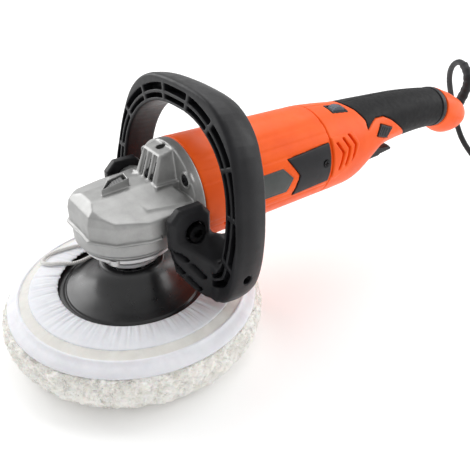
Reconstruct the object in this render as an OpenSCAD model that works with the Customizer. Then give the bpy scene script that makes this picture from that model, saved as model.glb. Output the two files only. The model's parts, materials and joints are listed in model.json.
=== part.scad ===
// Rotary polisher with a D-handle, a wool bonnet on a backing plate and a
// mains cord. Millimetres. Origin: centre of the bonnet's working face on
// the spindle axis. +Z up along the spindle, +Y rearwards along the motor
// axis, +X to the right of the operator's left side.

/* [Overall] */
// Height of the motor axis above the working face
motor_axis_z = 110; // [109:0.5:111]
// Radius of the motor housing at its front joint
motor_front_r = 41; // [40:0.5:42]
// Radius of the motor housing at its rear joint
motor_rear_r = 39.2; // [38.8:0.2:39.6]
// Wall thickness of the plastic housings
wall = 3; // [2.6:0.2:3.4]

/* [Pad] */
// Outer radius of the wool bonnet
bonnet_r = 100; // [98:1:102]
// Radius of the opening in the cloth cover
cloth_opening_r = 57; // [55:1:59]
// Radius of the backing plate
plate_r = 84; // [82:1:85]
// Thread major diameter of the spindle
spindle_thread_d = 14; // [14:1:14]

/* [Gears] */
// Teeth on the ring gear
ring_teeth = 36; // [36:1:36]
// Teeth on the motor pinion
pinion_teeth = 9; // [9:1:9]

/* [D-handle] */
// Depth of the D-handle from front to back
handle_depth = 27; // [25:1:29]
// Rearward lean of the D-handle in degrees
handle_lean = 7; // [6:0.5:8]
// Depth of the coring slots in its front face
slot_depth = 9; // [6:1:11]

/* [Controls] */
// Radius of the speed dial
dial_r = 9; // [8.5:0.5:9.5]
// Half length of the diamond lock-on button
lock_half_len = 12; // [10:0.5:13]

/* [Cord] */
// Cord diameter
cord_d = 6.5; // [6:0.5:7]
// Number of turns in the stored coil
coil_turns = 8; // [6:1:9]

/* [Hidden] */
$fn = 64;
ZM = motor_axis_z;
RF = motor_front_r;
RR = motor_rear_r;
Y1 = 42;        // gear housing / motor housing joint
Y2 = 168;       // motor housing / rear housing joint
E = 0.3;        // assembly gap
fit = 0.02;     // radial running clearance of a shaft in its bearing
bolt_y = 25.5;  // D-handle bolt axis
bolt_z = 105;
ear_r = 31.8;   // radius of the bearing flange's screws
pin_y = 247.5;  // trigger pin axis
pin_z = 92;
screw_places = [[180, 82], [228, 86], [312, 104]];  // [y, z] of the rear housing's screws

// exterior stations of the rear end: [y, centre z, half width, up, down]
tail = [[168.3, 110, 39.2, 39.2, 39.2], [190, 110, 38, 37, 39.5],
        [208, 110, 36, 34.8, 40.5], [220, 110, 34, 34.2, 39],
        [232, 111, 31.5, 33, 35], [244, 113, 28.5, 30.6, 28],
        [256, 115, 26, 28.2, 24.5], [270, 117, 24, 25.5, 23.5],
        [290, 119, 22.2, 22.2, 22], [320, 117.5, 20.6, 20.4, 20.6],
        [350, 114, 19.6, 19.4, 19.2]];
cap = [[350.3, 114, 20.6, 19.6, 20.4], [360, 110, 21, 19.8, 24],
       [370, 106, 20.6, 20, 24], [382, 102, 19, 18, 20.3],
       [392, 99, 15.5, 15.5, 14.5], [399, 98.5, 10, 10, 8],
       [402, 98.5, 5, 5, 4]];

// D-handle outlines in its own plane: [x, height above the motor axis]
hand_out = [[44, -20], [50, -33], [57, -47], [63, -53.5], [70, -55.5],
            [78, -52.5], [84, -45], [87.5, -33], [88.5, -18], [87, -2],
            [83, 15], [77, 37], [67.5, 58], [55, 71], [41, 78.5],
            [28, 81.5], [14, 82.6]];
hand_in = [[12, 64.5], [24, 62.5], [36, 58], [47.5, 51], [57, 41.5],
           [64.5, 29], [69, 14], [70.5, -2], [70, -16], [68, -29.5],
           [62, -27], [54, -11]];

function spow(v, e) = v < 0 ? -pow(-v, e) : pow(v, e);
function oval(s, n, e, g) = [for (i = [0 : n - 1])
    let (t = 360 * i / n, c = spow(cos(t), e), q = spow(sin(t), e))
    [(s[2] - g) * c, s[0], s[1] + (q > 0 ? s[3] - g : s[4] - g) * q]];
function mirror_x(p) = [for (i = [len(p) - 1 : -1 : 0]) [-p[i][0], p[i][1]]];
function crv(a, b, c, d, t) = 0.5 * (2 * b + (c - a) * t
    + (2 * a - 5 * b + 4 * c - d) * t * t + (3 * b - a - 3 * c + d) * t * t * t);
function smooth(p, k) = concat([for (i = [0 : len(p) - 2]) for (j = [0 : k - 1])
    crv(p[max(i - 1, 0)], p[i], p[i + 1], p[min(i + 2, len(p) - 1)], j / k)],
    [p[len(p) - 1]]);

module loft(s, n = 40, e = 1, g = 0) {
    m = len(s);
    polyhedron(points = [for (k = s) each oval(k, n, e, g)],
        faces = concat([[for (i = [n - 1 : -1 : 0]) i]],
            [for (k = [0 : m - 2]) for (i = [0 : n - 1])
                [k * n + i, k * n + (i + 1) % n,
                 (k + 1) * n + (i + 1) % n, (k + 1) * n + i]],
            [[for (i = [0 : n - 1]) (m - 1) * n + i]]));
}
module along_y(y0, y1) translate([0, y1, 0]) rotate([90, 0, 0])
    linear_extrude(y1 - y0) children();
module along_x(x0, x1) translate([x0, 0, 0]) rotate([90, 0, 90])
    linear_extrude(x1 - x0) children();
module ydisc(r, y0, y1, r2 = -1) translate([0, y0, ZM]) rotate([-90, 0, 0])
    cylinder(r1 = r, r2 = r2 < 0 ? r : r2, h = y1 - y0);
module xdisc(r, x0, x1, y, z) translate([x0, y, z]) rotate([0, 90, 0])
    cylinder(r = r, h = x1 - x0);
module both() { children(); mirror([1, 0, 0]) children(); }
module ring_y(ro, ri, y0, y1) difference() {
    ydisc(ro, y0, y1);
    ydisc(ri, y0 - 1, y1 + 1);
}
module ring_z(ro, ri, z0, z1) difference() {
    translate([0, 0, z0]) cylinder(r = ro, h = z1 - z0);
    translate([0, 0, z0 - 1]) cylinder(r = ri, h = z1 - z0 + 2);
}
module bearing_z(ro, ri, z0, z1) color("silver") rotate_extrude()
    polygon([[ri, z0], [ro, z0], [ro, z1], [ri, z1], [ri, z1 - 1],
        [ri + 2, z1 - 1], [ri + 2, z0 + 1], [ri, z0 + 1]]);

// ---------------------------------------------------------------- gear head
// plan outline of the faceted upper head, drawn in by a factor k ahead of the spindle
function head_plan(k) = [for (q = [[-17, -36.5], [17, -36.5], [32, -24], [40, -2], [40, 36],
    [-40, 36], [-40, -2], [-32, -24]]) [q[0] * k, q[1] < 0 ? q[1] * k : q[1]]];
module head_layer(z, k) translate([0, 0, z]) linear_extrude(0.1) polygon(head_plan(k));
module head_solid() {
    // round barrel below, faceted band and bevelled roof above
    translate([0, 0, 86]) cylinder(r1 = 35.6, r2 = 38.7, h = 5);
    translate([0, 0, 90.9]) cylinder(r = 38.7, h = 11);
    translate([0, 0, 101]) linear_extrude(12.2) polygon(head_plan(1));
    hull() { head_layer(113, 0.995); head_layer(120, 0.95); }
    hull() { head_layer(119.8, 0.945); head_layer(126, 0.8); }
    intersection() {
        ydisc(31, 2, 34, 38);
        translate([-50, 0, 86.2]) cube([100, 60, 35.3]);
    }
    ydisc(RF - 0.2, 33.9, Y1 - 0.1);
    // vent hump
    intersection() {
        along_x(-16, 16) polygon([[13.5, 118], [15, 122.2], [22.6, 145.4], [25, 146.8], [37, 149.6],
            [37, 118]]);
        along_y(0, 40) polygon([[-15.6, 118], [15.6, 118], [10.6, 150], [-10.6, 150]]);
    }
    // spindle-lock boss
    translate([-7, -21, 120]) cube([14, 27, 11.2]);
    // side bosses for the D-handle
    both() xdisc(13, 26, 43.4, bolt_y, bolt_z);
}
module gear_housing() color("lightgray") difference() {
    head_solid();
    translate([0, 0, 80]) cylinder(r = 29, h = 26);
    ydisc(15, 4, 34.1);
    ydisc(16, 34, Y1 + 1);
    ydisc(19, Y1 - 3, Y1 + 1);
    translate([0, 0, 105]) cylinder(r = 13, h = 19);
    translate([0, 0, 100]) cylinder(r = 16, h = 16);
    // lock pin guide and button pocket
    translate([0, -16, 95]) cylinder(r = 3.05, h = 40);
    translate([-5.2, -19.2, 125.4]) cube([10.4, 23.4, 8]);
    // hump slots, top hole and inner air duct
    for (x = [-7, 0, 7]) translate([x - 1.25, 12, 127]) cube([2.5, 15, 12.6]);
    translate([0, 31, 136]) cylinder(r = 3.2, h = 20);
    translate([0, 31, 146.6]) cylinder(r = 5, h = 5);
    along_x(-9, 9) polygon([[24, 128], [27, 142], [43, 142], [43, 128]]);
    // screw holes: motor flange, bearing flange, D-handle
    for (a = [38, 142, 218, 322]) translate([35.5 * cos(a), 30, ZM + 35.5 * sin(a)])
        rotate([-90, 0, 0]) { cylinder(r = 2.1, h = 20); translate([0, 0, -20]) cylinder(r = 4.2, h = 25); }
    for (a = [45 : 90 : 315]) translate([ear_r * cos(a), ear_r * sin(a), 84]) cylinder(r = 1.7, h = 12);
    both() xdisc(3.4, 31, 50, bolt_y, bolt_z);
}
module bearing_flange() color("silver") difference() {
    union() {
        rotate_extrude() polygon([[9, 70], [21.5, 70], [22, 70.6], [22, 73], [20.6, 74], [20.6, 75.4],
            [24.5, 76.4], [31.5, 82], [33, 82], [33.4, 82.5], [33.4, 85.8], [28.8, 85.8], [28.8, 88],
            [17.5, 88], [17.5, 77], [12, 77], [12, 75], [9, 75]]);
        for (a = [45 : 90 : 315]) translate([ear_r * cos(a), ear_r * sin(a), 82.2]) cylinder(r = 4,
            h = 3.6);
    }
    for (a = [45 : 90 : 315]) translate([ear_r * cos(a), ear_r * sin(a), 78]) {
        cylinder(r = 1.9, h = 12);
        cylinder(r = 3.4, h = 5.6);
    }
}
module flange_screws() color("gray") for (a = [45 : 90 : 315])
    translate([ear_r * cos(a), ear_r * sin(a), 0]) {
        translate([0, 0, 81]) difference() {
            cylinder(r = 3.1, h = 2.6);
            translate([-2, -0.4, -1]) cube([4, 0.8, 2]);
            translate([-0.4, -2, -1]) cube([0.8, 4, 2]);
        }
        translate([0, 0, 83.6]) cylinder(r = 1.7, h = 11.4);
    }
module head_screws() color("gray") for (a = [38, 142, 218, 322])
    translate([35.5 * cos(a), 0, ZM + 35.5 * sin(a)]) rotate([-90, 0, 0]) {
        translate([0, 0, 31.4]) difference() {
            cylinder(r = 3.9, h = 3.6);
            translate([-2.6, -0.5, -1]) cube([5.2, 1, 2.4]);
            translate([-0.5, -2.6, -1]) cube([1, 5.2, 2.4]);
        }
        translate([0, 0, 35]) cylinder(r = 2, h = 19);
    }
module spindle_bearing_lower() bearing_z(17.5, 7.5 + fit, 77, 88);
module spindle_bearing_upper() bearing_z(13, 5 + fit, 116, 124);
module spindle_lock_button() color("#222") difference() {
    union() {
        translate([-4.9, -18.9, 129]) cube([9.8, 22.8, 2.6]);
        translate([0, -16, 104]) cylinder(r = 2.98, h = 26);
    }
    for (i = [0 : 4]) translate([-6, -15 + 4 * i, 130.9]) cube([12, 1.2, 1]);
}

// ------------------------------------------------------------------ spindle
module spindle() color("silver") difference() {
    rotate_extrude() polygon([[0, 38], [6.2, 38], [7, 39], [7, 66], [8.6, 66], [8.6, 76.6], [9.9, 76.6],
        [9.9, 76.95], [7.5, 76.95], [7.5, 90], [7, 90], [7, 103.6], [5, 103.6], [5, 124], [0, 124]]);
    for (m = [0, 1]) mirror([m, 0, 0]) translate([7.4, -9, 66.8]) cube([4, 18, 3]);
}
module ring_gear() color("#777") difference() {
    union() {
        rotate_extrude() polygon([[7, 90.2], [13, 90.2], [13, 93], [28, 93], [28, 101], [20, 103],
            [13, 103], [13, 103.6], [7, 103.6]]);
        // teeth
        for (i = [0 : ring_teeth - 1]) rotate([0, 0, 360 * (i + 0.5) / ring_teeth])
            rotate([90, 0, 0]) translate([0, 0, -0.7]) linear_extrude(1.4)
            polygon([[20.7, 102.2], [27.7, 100.5], [27.7, 103.9], [20.7, 105.7]]);
    }
    for (a = [0 : 90 : 270]) rotate([0, 0, a]) translate([16, 0, 98]) cylinder(r = 3.5, h = 10);
}
module retaining_nut() color("#444") difference() {
    translate([0, 0, 103.6]) cylinder(r = 9, h = 3.6, $fn = 6);
    translate([0, 0, 100]) cylinder(r = 5.02, h = 10);
}
module backing_plate() color("#151515") difference() {
    rotate_extrude() polygon([[12, 30.2], [plate_r, 30.2], [plate_r, 35.5], [plate_r - 3, 39.2],
        [72, 41.8], [57, 43.4], [53, 43.8], [52.6, 42.6], [51.2, 42.6], [50.8, 44.2], [44, 46],
        [37, 49.5], [31, 54], [26.5, 59.5], [24, 64.5], [22.5, 66], [19, 66.4], [18.4, 64.2], [12, 64.2]]);
    for (a = [30 : 60 : 330]) rotate([0, 0, a]) translate([14.5, 0, 29]) cylinder(r = 1.6, h = 10);
}
module plate_insert() color("silver") difference() {
    union() {
        translate([0, 0, 33]) cylinder(r = 12, h = 31.3);
        translate([0, 0, 64.2]) cylinder(r = 18, h = 1.7, $fn = 6);
    }
    translate([0, 0, 30]) cylinder(r = spindle_thread_d / 2, h = 40);
}
module foam_pad() color("#444") difference() {
    translate([0, 0, 12.2]) cylinder(r = 85.6, h = 17.9);
    translate([0, 0, 20]) cylinder(r = 11, h = 12);
}
module wool_bonnet() color("ivory") rotate_extrude()
    polygon([[0, 0], [80, 0], [87, 2], [93, 6.3], [97, 12.4], [bonnet_r - 0.5, 19], [bonnet_r, 24],
        [bonnet_r - 0.8, 29], [97, 32.6], [94.6, 34.6], [92, 35.5], [86.5, 35.5],
        [86.5, 12], [0, 12]]);
module cloth_cover() color("#e6e4f0") rotate_extrude()
    polygon([[cloth_opening_r, 44.2], [cloth_opening_r + 1, 44], [70, 43.2], [78, 41.6],
        [84.6, 38.9], [87, 36.2], [91.8, 36], [95.2, 34.8], [96, 35.8], [92, 38.2], [85, 42.2], [78, 45.2],
        [70, 46.8], [60, 47.2], [cloth_opening_r, 46.6]]);

// ------------------------------------------------------- sweeping along cords
function unit(v) = v / norm(v);
function catmull(P, k) = concat([for (i = [0 : len(P) - 2]) for (j = [0 : k - 1])
    crv(P[max(i - 1, 0)], P[i], P[i + 1], P[min(i + 2, len(P) - 1)], j / k)], [P[len(P) - 1]]);
function tangent(P, i) = unit(P[min(i + 1, len(P) - 1)] - P[max(i - 1, 0)]);
function frames(P, i = 0, u = [1, 0, 0], acc = []) = i == len(P) ? acc :
    let (t = tangent(P, i), w = unit(u - (u * t) * t)) frames(P, i + 1, w, concat(acc, [[w, cross(t, w)]]));
module sweep(P, r0, r1, n = 10) {
    m = len(P);
    F = frames(P, 0, abs(tangent(P, 0)[0]) > 0.8 ? [0, 0, 1] : [1, 0, 0]);
    polyhedron(points = [for (i = [0 : m - 1]) let (r = r0 + (r1 - r0) * i / (m - 1))
            for (j = [0 : n - 1]) P[i] + r * (cos(360 * j / n) * F[i][0] + sin(360 * j / n) * F[i][1])],
        faces = concat([[for (j = [0 : n - 1]) j]],
            [for (i = [0 : m - 2]) for (j = [0 : n - 1]) [i * n + (j + 1) % n, i * n + j,
                (i + 1) * n + j, (i + 1) * n + (j + 1) % n]],
            [[for (j = [n - 1 : -1 : 0]) (m - 1) * n + j]]));
}
draw_route = [[-54, 14, 49.4], [-58, 2, 49.4], [-62, -14, 49.4], [-66, -30, 49.2], [-67, -42, 49],
    [-61, -50, 49], [-53, -48, 49.2], [-47, -40, 49.4], [-43, -31, 49.4], [-44, -20, 49.4]];
module drawstring() color("white") sweep(catmull(draw_route, 4), 1.6, 1.6, 8);

// -------------------------------------------------------------------- motor
module rotor_bearing_front() color("silver") ring_y(16, 6 + fit, 34, 44);
module pinion() color("#777") {
    translate([0, 0, ZM]) rotate([-90, 0, 0]) translate([0, 0, 20]) cylinder(r1 = 3.7, r2 = 5.8, h = 8.6);
    ydisc(8.4, 28.4, 31);
    ydisc(6.4, 30.8, 33.6);
    for (i = [0 : pinion_teeth - 1]) translate([0, 0, ZM]) rotate([0, -90 + 360 * i / pinion_teeth, 0])
        translate([0, 0, -0.65]) linear_extrude(1.3)
        polygon([[-3.1, 20.3], [-5.0, 28.7], [-8.1, 28.7], [-6, 20.3]]);
}
module rotor_shaft() color("silver") union() {
    ydisc(6, 33.6, 60);
    ydisc(5, 60, 147);
    ydisc(4, 147, 156);
}
module cooling_fan() color("#333") difference() {
    union() {
        ydisc(33, 57, 58.6);
        ydisc(10, 57, 69);
        for (i = [0 : 10]) translate([0, 0, ZM]) rotate([0, 360 * i / 11, 0])
            translate([14, 58.5, -0.8]) cube([18, 8.5, 1.6]);
    }
    ydisc(6, 50, 60);
    ydisc(5, 59.9, 75);
}
module rotor_core() color("#888") difference() {
    union() {
        ydisc(20.8, 76, 118);
        ydisc(17.5, 71, 76);
        ydisc(17, 118, 125);
    }
    ydisc(5, 60, 130);
    for (i = [0 : 11]) translate([0, 0, ZM]) rotate([0, 30 * i, 0]) translate([18.6, 75.5, -0.9])
        cube([4, 43, 1.8]);
}
module commutator() color("#b87333") difference() {
    union() { ydisc(12, 128, 144); ydisc(14, 126, 128); }
    ydisc(5, 120, 150);
    for (i = [0 : 23]) translate([0, 0, ZM]) rotate([0, 15 * i, 0]) translate([11.3, 128.4, -0.3])
        cube([2, 17, 0.6]);
}
module stator() color("#666") difference() {
    intersection() {
        ydisc(35, 76, 118);
        translate([-29, 70, ZM - 35]) cube([58, 60, 70]);
    }
    ydisc(21.8, 70, 130);
    for (s = [-1, 1]) translate([s * 24 - 4, 70, ZM - 17]) cube([8, 60, 34]);
}
module field_coils() color("#b87333") for (s = [-1, 1]) {
    difference() {
        translate([s * 24 - 3.4, 70, ZM - 16]) cube([6.8, 54, 32]);
        translate([s * 24 - 4, 75, ZM - 9]) cube([8, 44, 18]);
    }
}
module rotor_bearing_rear() color("silver") ring_y(11, 4 + fit, 148, 155);
module bearing_bracket() color("#222") difference() {
    union() {
        ydisc(15, 146, 157);
        for (a = [45 : 90 : 315]) translate([0, 0, ZM]) rotate([0, a, 0]) translate([12, 148, -3])
            cube([23.1, 8, 6]);
    }
    ydisc(11, 147.9, 155.1);
    ydisc(8, 140, 160);
}
module fan_baffle() color("#222") ring_y(37.4, 26, 68, 69.6);
module brush_holders() color("goldenrod") both() difference() {
    translate([14, 131.5, ZM - 6]) cube([22, 9, 12]);
    translate([10, 133, ZM - 4.5]) cube([30, 6, 9]);
}
module carbon_brushes() color("#333") both() translate([12.1, 133.1, ZM - 4.4]) cube([15, 5.8, 8.8]);
module brush_springs() color("silver") both() for (i = [0 : 3]) translate([28 + 1.8 * i, 136, ZM])
    rotate([0, 90, 0]) rotate_extrude() translate([2.4, 0]) circle(r = 0.45, $fn = 16);

// ------------------------------------------------------------ motor housing
module brush_cover_2d() polygon([[120.5, 127.3], [131.5, 112.5], [126, 95.5], [165.5, 97.5], [166, 129.6]]);
module label_2d() polygon([[74, 102], [118.5, 101.5], [124.8, 112], [114.8, 122], [74, 122]]);
module skin(y0, y1, g0, g1) difference() {
    ydisc(RF + g1 - (RF - RR) * (y0 - Y1) / (Y2 - Y1), y0, y1, RF + g1 - (RF - RR) * (y1 - Y1) / (Y2 - Y1));
    ydisc(RF + g0 - (RF - RR) * (y0 - 1 - Y1) / (Y2 - Y1), y0 - 1, y1 + 1,
        RF + g0 - (RF - RR) * (y1 + 1 - Y1) / (Y2 - Y1));
}
module motor_housing() color("orangered") difference() {
    union() {
        difference() {
            ydisc(RF, Y1 + 0.1, Y2, RR);
            ydisc(RF - wall, Y1 - 1, Y2 + 1, RR - wall);
        }
        // front ring that takes the head screws and centres the stator
        difference() {
            ydisc(RF - 2, Y1 + 0.1, 55);
            ydisc(30.5, Y1 - 1, 55.2);
        }
        for (a = [45 : 90 : 315]) translate([0, 0, ZM]) rotate([0, a, 0]) translate([35.3, 71.4, -3])
            cube([2.4, 95, 6]);
    }
    for (a = [38, 142, 218, 322]) translate([35.5 * cos(a), 40, ZM + 35.5 * sin(a)])
        rotate([-90, 0, 0]) cylinder(r = 2, h = 15);
    both() intersection() {
        skin(70, 167, -1, 3);
        union() { along_x(20, 50) brush_cover_2d(); along_x(20, 50) label_2d(); }
    }
    both() translate([30, 131, ZM - 6.5]) cube([20, 10, 13]);
    both() xdisc(1.7, 30, 50, 160, ZM + 5);
    // air outlets behind the gear head
    for (i = [-3 : 3]) translate([0, 0, ZM]) rotate([0, 90 + 9 * i, 0]) translate([30, 60, -1])
        cube([20, 7, 2]);
}
module brush_covers() color("#1c1c1c") both() difference() {
    intersection() {
        skin(110, 167.5, -0.9, 0.9);
        along_x(20, 50) brush_cover_2d();
    }
    xdisc(1.7, 30, 50, 160, ZM + 5);
    xdisc(3.1, RR - 0.6, 50, 160, ZM + 5);
}
module brush_cover_screws() color("gray") both() difference() {
    union() {
        xdisc(1.7, 32, RR - 0.6, 160, ZM + 5);
        xdisc(2.9, RR - 0.6, RR + 0.9, 160, ZM + 5);
    }
    translate([RR + 0.2, 158, ZM + 4.6]) cube([3, 4, 0.8]);
    translate([RR + 0.2, 159.6, ZM + 3]) cube([3, 0.8, 4]);
}
module label_plates() color("#3a3d40") both() intersection() {
    skin(60, 130, -0.9, 0.25);
    along_x(20, 50) label_2d();
}

// ------------------------------------------------------------- rear housing
module grip_zone_2d(g = 0) polygon([[207.5 + g, 170], [207.5 + g, 147], [215, 141.5], [219.5 + g, 134],
    [218.5 + g, 126.5], [226, 130], [234, 132.5], [246, 131.5], [256, 127], [268, 119], [280, 110.5],
    [291, 101], [297, 93], [298, 70], [360, 70], [360, 170]]);
module grip_zone(g = 0) along_x(-50, 50) grip_zone_2d(g);
module tail_inside() {
    loft(concat([[160, 110, 39.2, 39.2, 39.2]], tail, [[360, 113, 19.6, 19.4, 19.2]]), 40, 1, 5);
    intersection() {
        loft(concat([[160, 110, 39.2, 39.2, 39.2]], tail), 40, 1, wall);
        along_x(-50, 50) polygon([[150, 60], [292, 60], [292, 98], [262, 118], [232, 126], [212, 120],
            [204, 160], [150, 160]]);
    }
}
module chevron(y, z) polygon([[y, z + 9], [y + 2.6, z + 9], [y + 9, z], [y + 4, z - 14], [y + 1.4,
    z - 14], [y + 6, z]]);
module rear_wall() difference() {
    union() {
        difference() { loft(tail); grip_zone(); }
        loft(tail, 40, 1, 2.4);
        // raised vent panels
        both() intersection() {
            loft(tail, 40, 1, -0.8);
            along_x(20, 50) polygon([[168.3, 100], [172, 97], [190, 104], [202, 121], [197, 131],
                [168.3, 133]]);
        }
    }
    tail_inside();
    both() along_x(22, 50) { chevron(173, 119); chevron(181, 121); chevron(189, 122); }
    // dial window, trigger slot, lock button and dial seats
    translate([2.4, 187.4, 128]) cube([12.4, 19.2, 30]);
    translate([-10.2, 238, 70]) cube([20.4, 47, 36]);
    along_x(15, 50) lock_diamond(0.45);
    translate([0, 346, 110]) rotate([-90, 0, 0]) cylinder(r = 11, h = 20);
}
// screw posts and trigger-pin cheeks that stand inside the rear housing
module rear_posts() intersection() {
    loft(tail, 40, 1, 2.6);
    union() {
        for (p = screw_places) xdisc(4.6, -40, 40, p[0], p[1]);
        both() translate([10.4, 242.5, 80]) cube([3, 11, 17]);
    }
}
module rear_shell() difference() {
    union() { rear_wall(); rear_posts(); }
    for (p = screw_places) {
        xdisc(1.8, -45, 12, p[0], p[1]);
        xdisc(3.6, -45, -10, p[0], p[1]);
    }
    xdisc(2, -13, 13, pin_y, pin_z);
}
module rear_housing_left() color("orangered") difference() {
    rear_shell();
    translate([0, 100, 0]) cube([100, 400, 300]);
}
module rear_housing_right() color("orangered") difference() {
    rear_shell();
    translate([-100, 100, 0]) cube([100, 400, 300]);
}
module soft_grip() color("#1a1a1a") difference() {
    intersection() { loft(tail); grip_zone(E); along_x(-50, 50) square([342, 200]); }
    loft(tail, 40, 1, 2.4);
    xdisc(3.6, -45, 0, screw_places[2][0], screw_places[2][1]);
}
module grip_rim() color("#111") difference() {
    intersection() { loft(tail, 40, 1, -0.5); along_x(-50, 50) translate([342.3, 0]) square([6.5, 200]); }
    loft(tail, 40, 1, 2.4);
}
module end_cap() color("orangered") difference() {
    loft(cap);
    loft([[340, 114, 20.6, 19.6, 20.4], [360, 110, 20.8, 19.8, 23], [372, 106, 20, 19, 23],
        [384, 102, 17, 16, 18], [394, 99, 10, 9, 9]], 40, 1, 3);
    translate([0, 382, 92.4]) rotate([-52, 0, 0]) cylinder(r = 6.7, h = 40);
}
module housing_screws() color("gray") for (p = screw_places) difference() {
    union() {
        xdisc(1.8, -10.5, 8.5, p[0], p[1]);
        xdisc(3.3, -13, -10, p[0], p[1]);
    }
    translate([-14, p[0] - 0.5, p[1] - 2.4]) cube([2.2, 1, 4.8]);
    translate([-14, p[0] - 2.4, p[1] - 0.5]) cube([2.2, 4.8, 1]);
}
module speed_dial() color("#222") difference() {
    xdisc(dial_r, 4, 12.4, 197, 138.8);
    xdisc(1.6, 0, 20, 197, 138.8);
    for (i = [0 : 23]) translate([0, 197, 138.8]) rotate([15 * i, 0, 0]) translate([3, -0.4,
        dial_r - 0.5]) cube([12, 0.8, 2]);
}
module dial_axle() color("silver") {
    xdisc(1.55, 2, 13.6, 197, 138.8);
    translate([2, 195, 128]) cube([1.6, 4, 12.2]);
    translate([12.8, 195, 128]) cube([1.6, 4, 12.2]);
}
module speed_board() color("darkgreen") translate([-14, 186, 122]) {
    cube([30, 40, 1.8]);
    translate([3, 26, 1.8]) cube([10, 10, 8]);
    translate([16, 3, 1.8]) cube([13.5, 12, 4.2]);
}
module switch_body() color("#2b2b2b") difference() {
    translate([-9, 262, 106.4]) cube([18, 34, 19]);
    translate([-10, 264, 104]) cube([20, 3, 5]);
}
module trigger_paddle() color("#141414") difference() {
    along_x(-9.4, 9.4) polygon([[241, 87], [243, 83], [247, 81.6], [276, 83], [283, 85], [284, 88],
        [281, 90.6], [266, 92], [258, 96], [252, 97.6], [245, 96.4], [241.4, 92]]);
    xdisc(2.05, -20, 20, pin_y, pin_z);
}
module trigger_pin() color("silver") xdisc(2, -13, 13, pin_y, pin_z);
module trigger_spring() color("silver") for (i = [0 : 3]) translate([0, 272, 95.2 + 2.1 * i])
    rotate_extrude() translate([3.2, 0]) circle(r = 0.5, $fn = 16);
// diamond outline of the lock-on button, grown by g all round
module lock_diamond(g) translate([243.3, 118.7]) polygon([[-lock_half_len - 1.7 - g, -0.7], [-2.7, 6.7 + g],
    [lock_half_len + 1.7 + g, 0.7], [6.3, -6.8 - g]]);
module lock_button() color("#141414") difference() {
    union() {
        along_x(24.6, 29.2) lock_diamond(0);
        along_x(17, 24.8) polygon([[238, 115], [238, 121], [248, 121], [248, 115]]);
    }
    for (i = [0 : 3]) translate([28.6, 236.5 + 4 * i, 110]) cube([1, 0.8, 20]);
}
module lock_spring() color("silver") for (i = [0 : 2]) translate([10.6 + 1.4 * i, 243, 118])
    rotate([0, 90, 0]) rotate_extrude() translate([2.6, 0]) circle(r = 0.45, $fn = 16);
module lock_block() color("#2b2b2b") translate([2, 236, 112]) cube([8, 14, 12]);

// ----------------------------------------------------------------- D-handle
// outer and inner edges from the right arm, over the top, to the left arm
rim_o = concat(smooth(hand_out, 4), smooth(mirror_x(hand_out), 4));
in_r = [for (i = [len(hand_in) - 1 : -1 : 0]) hand_in[i]];
rim_i = concat(smooth(in_r, 4), smooth(mirror_x(in_r), 4));
function rev(p) = [for (i = [len(p) - 1 : -1 : 0]) p[i]];
// point a fraction f along an edge, by index
function at(p, f) = let (x = f * (len(p) - 1), i = floor(x), r = x - i)
    i >= len(p) - 1 ? p[len(p) - 1] : p[i] * (1 - r) + p[i + 1] * r;
// strip between two depths across the section, from fraction a to b
function strip(a, b, u, v, n) = concat(
    [for (j = [0 : n]) let (f = a + (b - a) * j / n) at(rim_o, f) * (1 - u) + at(rim_i, f) * u],
    [for (j = [n : -1 : 0]) let (f = a + (b - a) * j / n) at(rim_o, f) * (1 - v) + at(rim_i, f) * v]);
module hand_frame() translate([0, 35, ZM]) rotate([-handle_lean, 0, 0]) children();
module d_handle() color("#161616") difference() {
    union() {
        // loop
        difference() {
            hand_frame() along_y(0, handle_depth) polygon(concat(rim_o, rev(rim_i)));
            // the arms below are shaped on their own
            both() translate([20, 0, 60]) cube([32, 80, 50]);
        }
        // arms that sweep forward to the bosses
        both() intersection() {
            along_y(4, 70) polygon([[43.6, 87.5], [50, 75.5], [57, 63], [63, 56], [71, 54.4],
                [71, 84], [66, 87], [58, 95], [53, 100], [43.6, 104]]);
            translate([0, 0, 40]) linear_extrude(80) polygon([[43.6, 9], [50, 9], [66, 27.5],
                [71, 29.4], [71, 54], [62, 53], [52, 40], [43.6, 37]]);
        }
        both() along_x(43.6, 52) polygon([[7, 94], [10.5, 89.5], [34, 89.5], [38.5, 94],
            [38.5, 116], [32.5, 123.5], [14.5, 123.5], [7, 116]]);
    }
    // coring slots round the loop
    hand_frame() for (k = [0 : 9]) for (u = [0.12, 0.54]) let (a = 0.115 + 0.077 * k)
        along_y(-8, slot_depth) polygon(strip(a + 0.006, a + 0.071, u, u + 0.33, 5));
    // slots on the arms
    both() for (i = [0, 1]) along_y(0, 18 + 12 * i) polygon([for (q = [[0, 0], [1, 0], [1, 1], [0, 1]])
        [49 + 9 * i + 6.5 * q[0] + 3 * q[1], 85.5 - 11 * i - 9 * q[0] + 4 * q[1]]]);
    // bolt holes and counterbores, key hole in the right leg
    both() { xdisc(4.1, 40, 60, bolt_y, bolt_z); xdisc(7.6, 46.5, 60, bolt_y, bolt_z); }
    both() xdisc(3.6, 74, 100, 43, 78);
}
module handle_bolts() color("#222") both() difference() {
    union() {
        xdisc(3.4, 31, 43.6, bolt_y, bolt_z);
        xdisc(3.95, 43.4, 46.6, bolt_y, bolt_z);
        xdisc(6.4, 48, 54.6, bolt_y, bolt_z);
        xdisc(3.95, 46.5, 48.1, bolt_y, bolt_z);
    }
    translate([51, bolt_y, bolt_z]) rotate([0, 90, 0]) cylinder(r = 3.4, h = 6, $fn = 6);
}
module handle_washers() color("silver") both() difference() {
    xdisc(7.3, 46.5, 48, bolt_y, bolt_z);
    xdisc(4, 40, 60, bolt_y, bolt_z);
}

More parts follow.
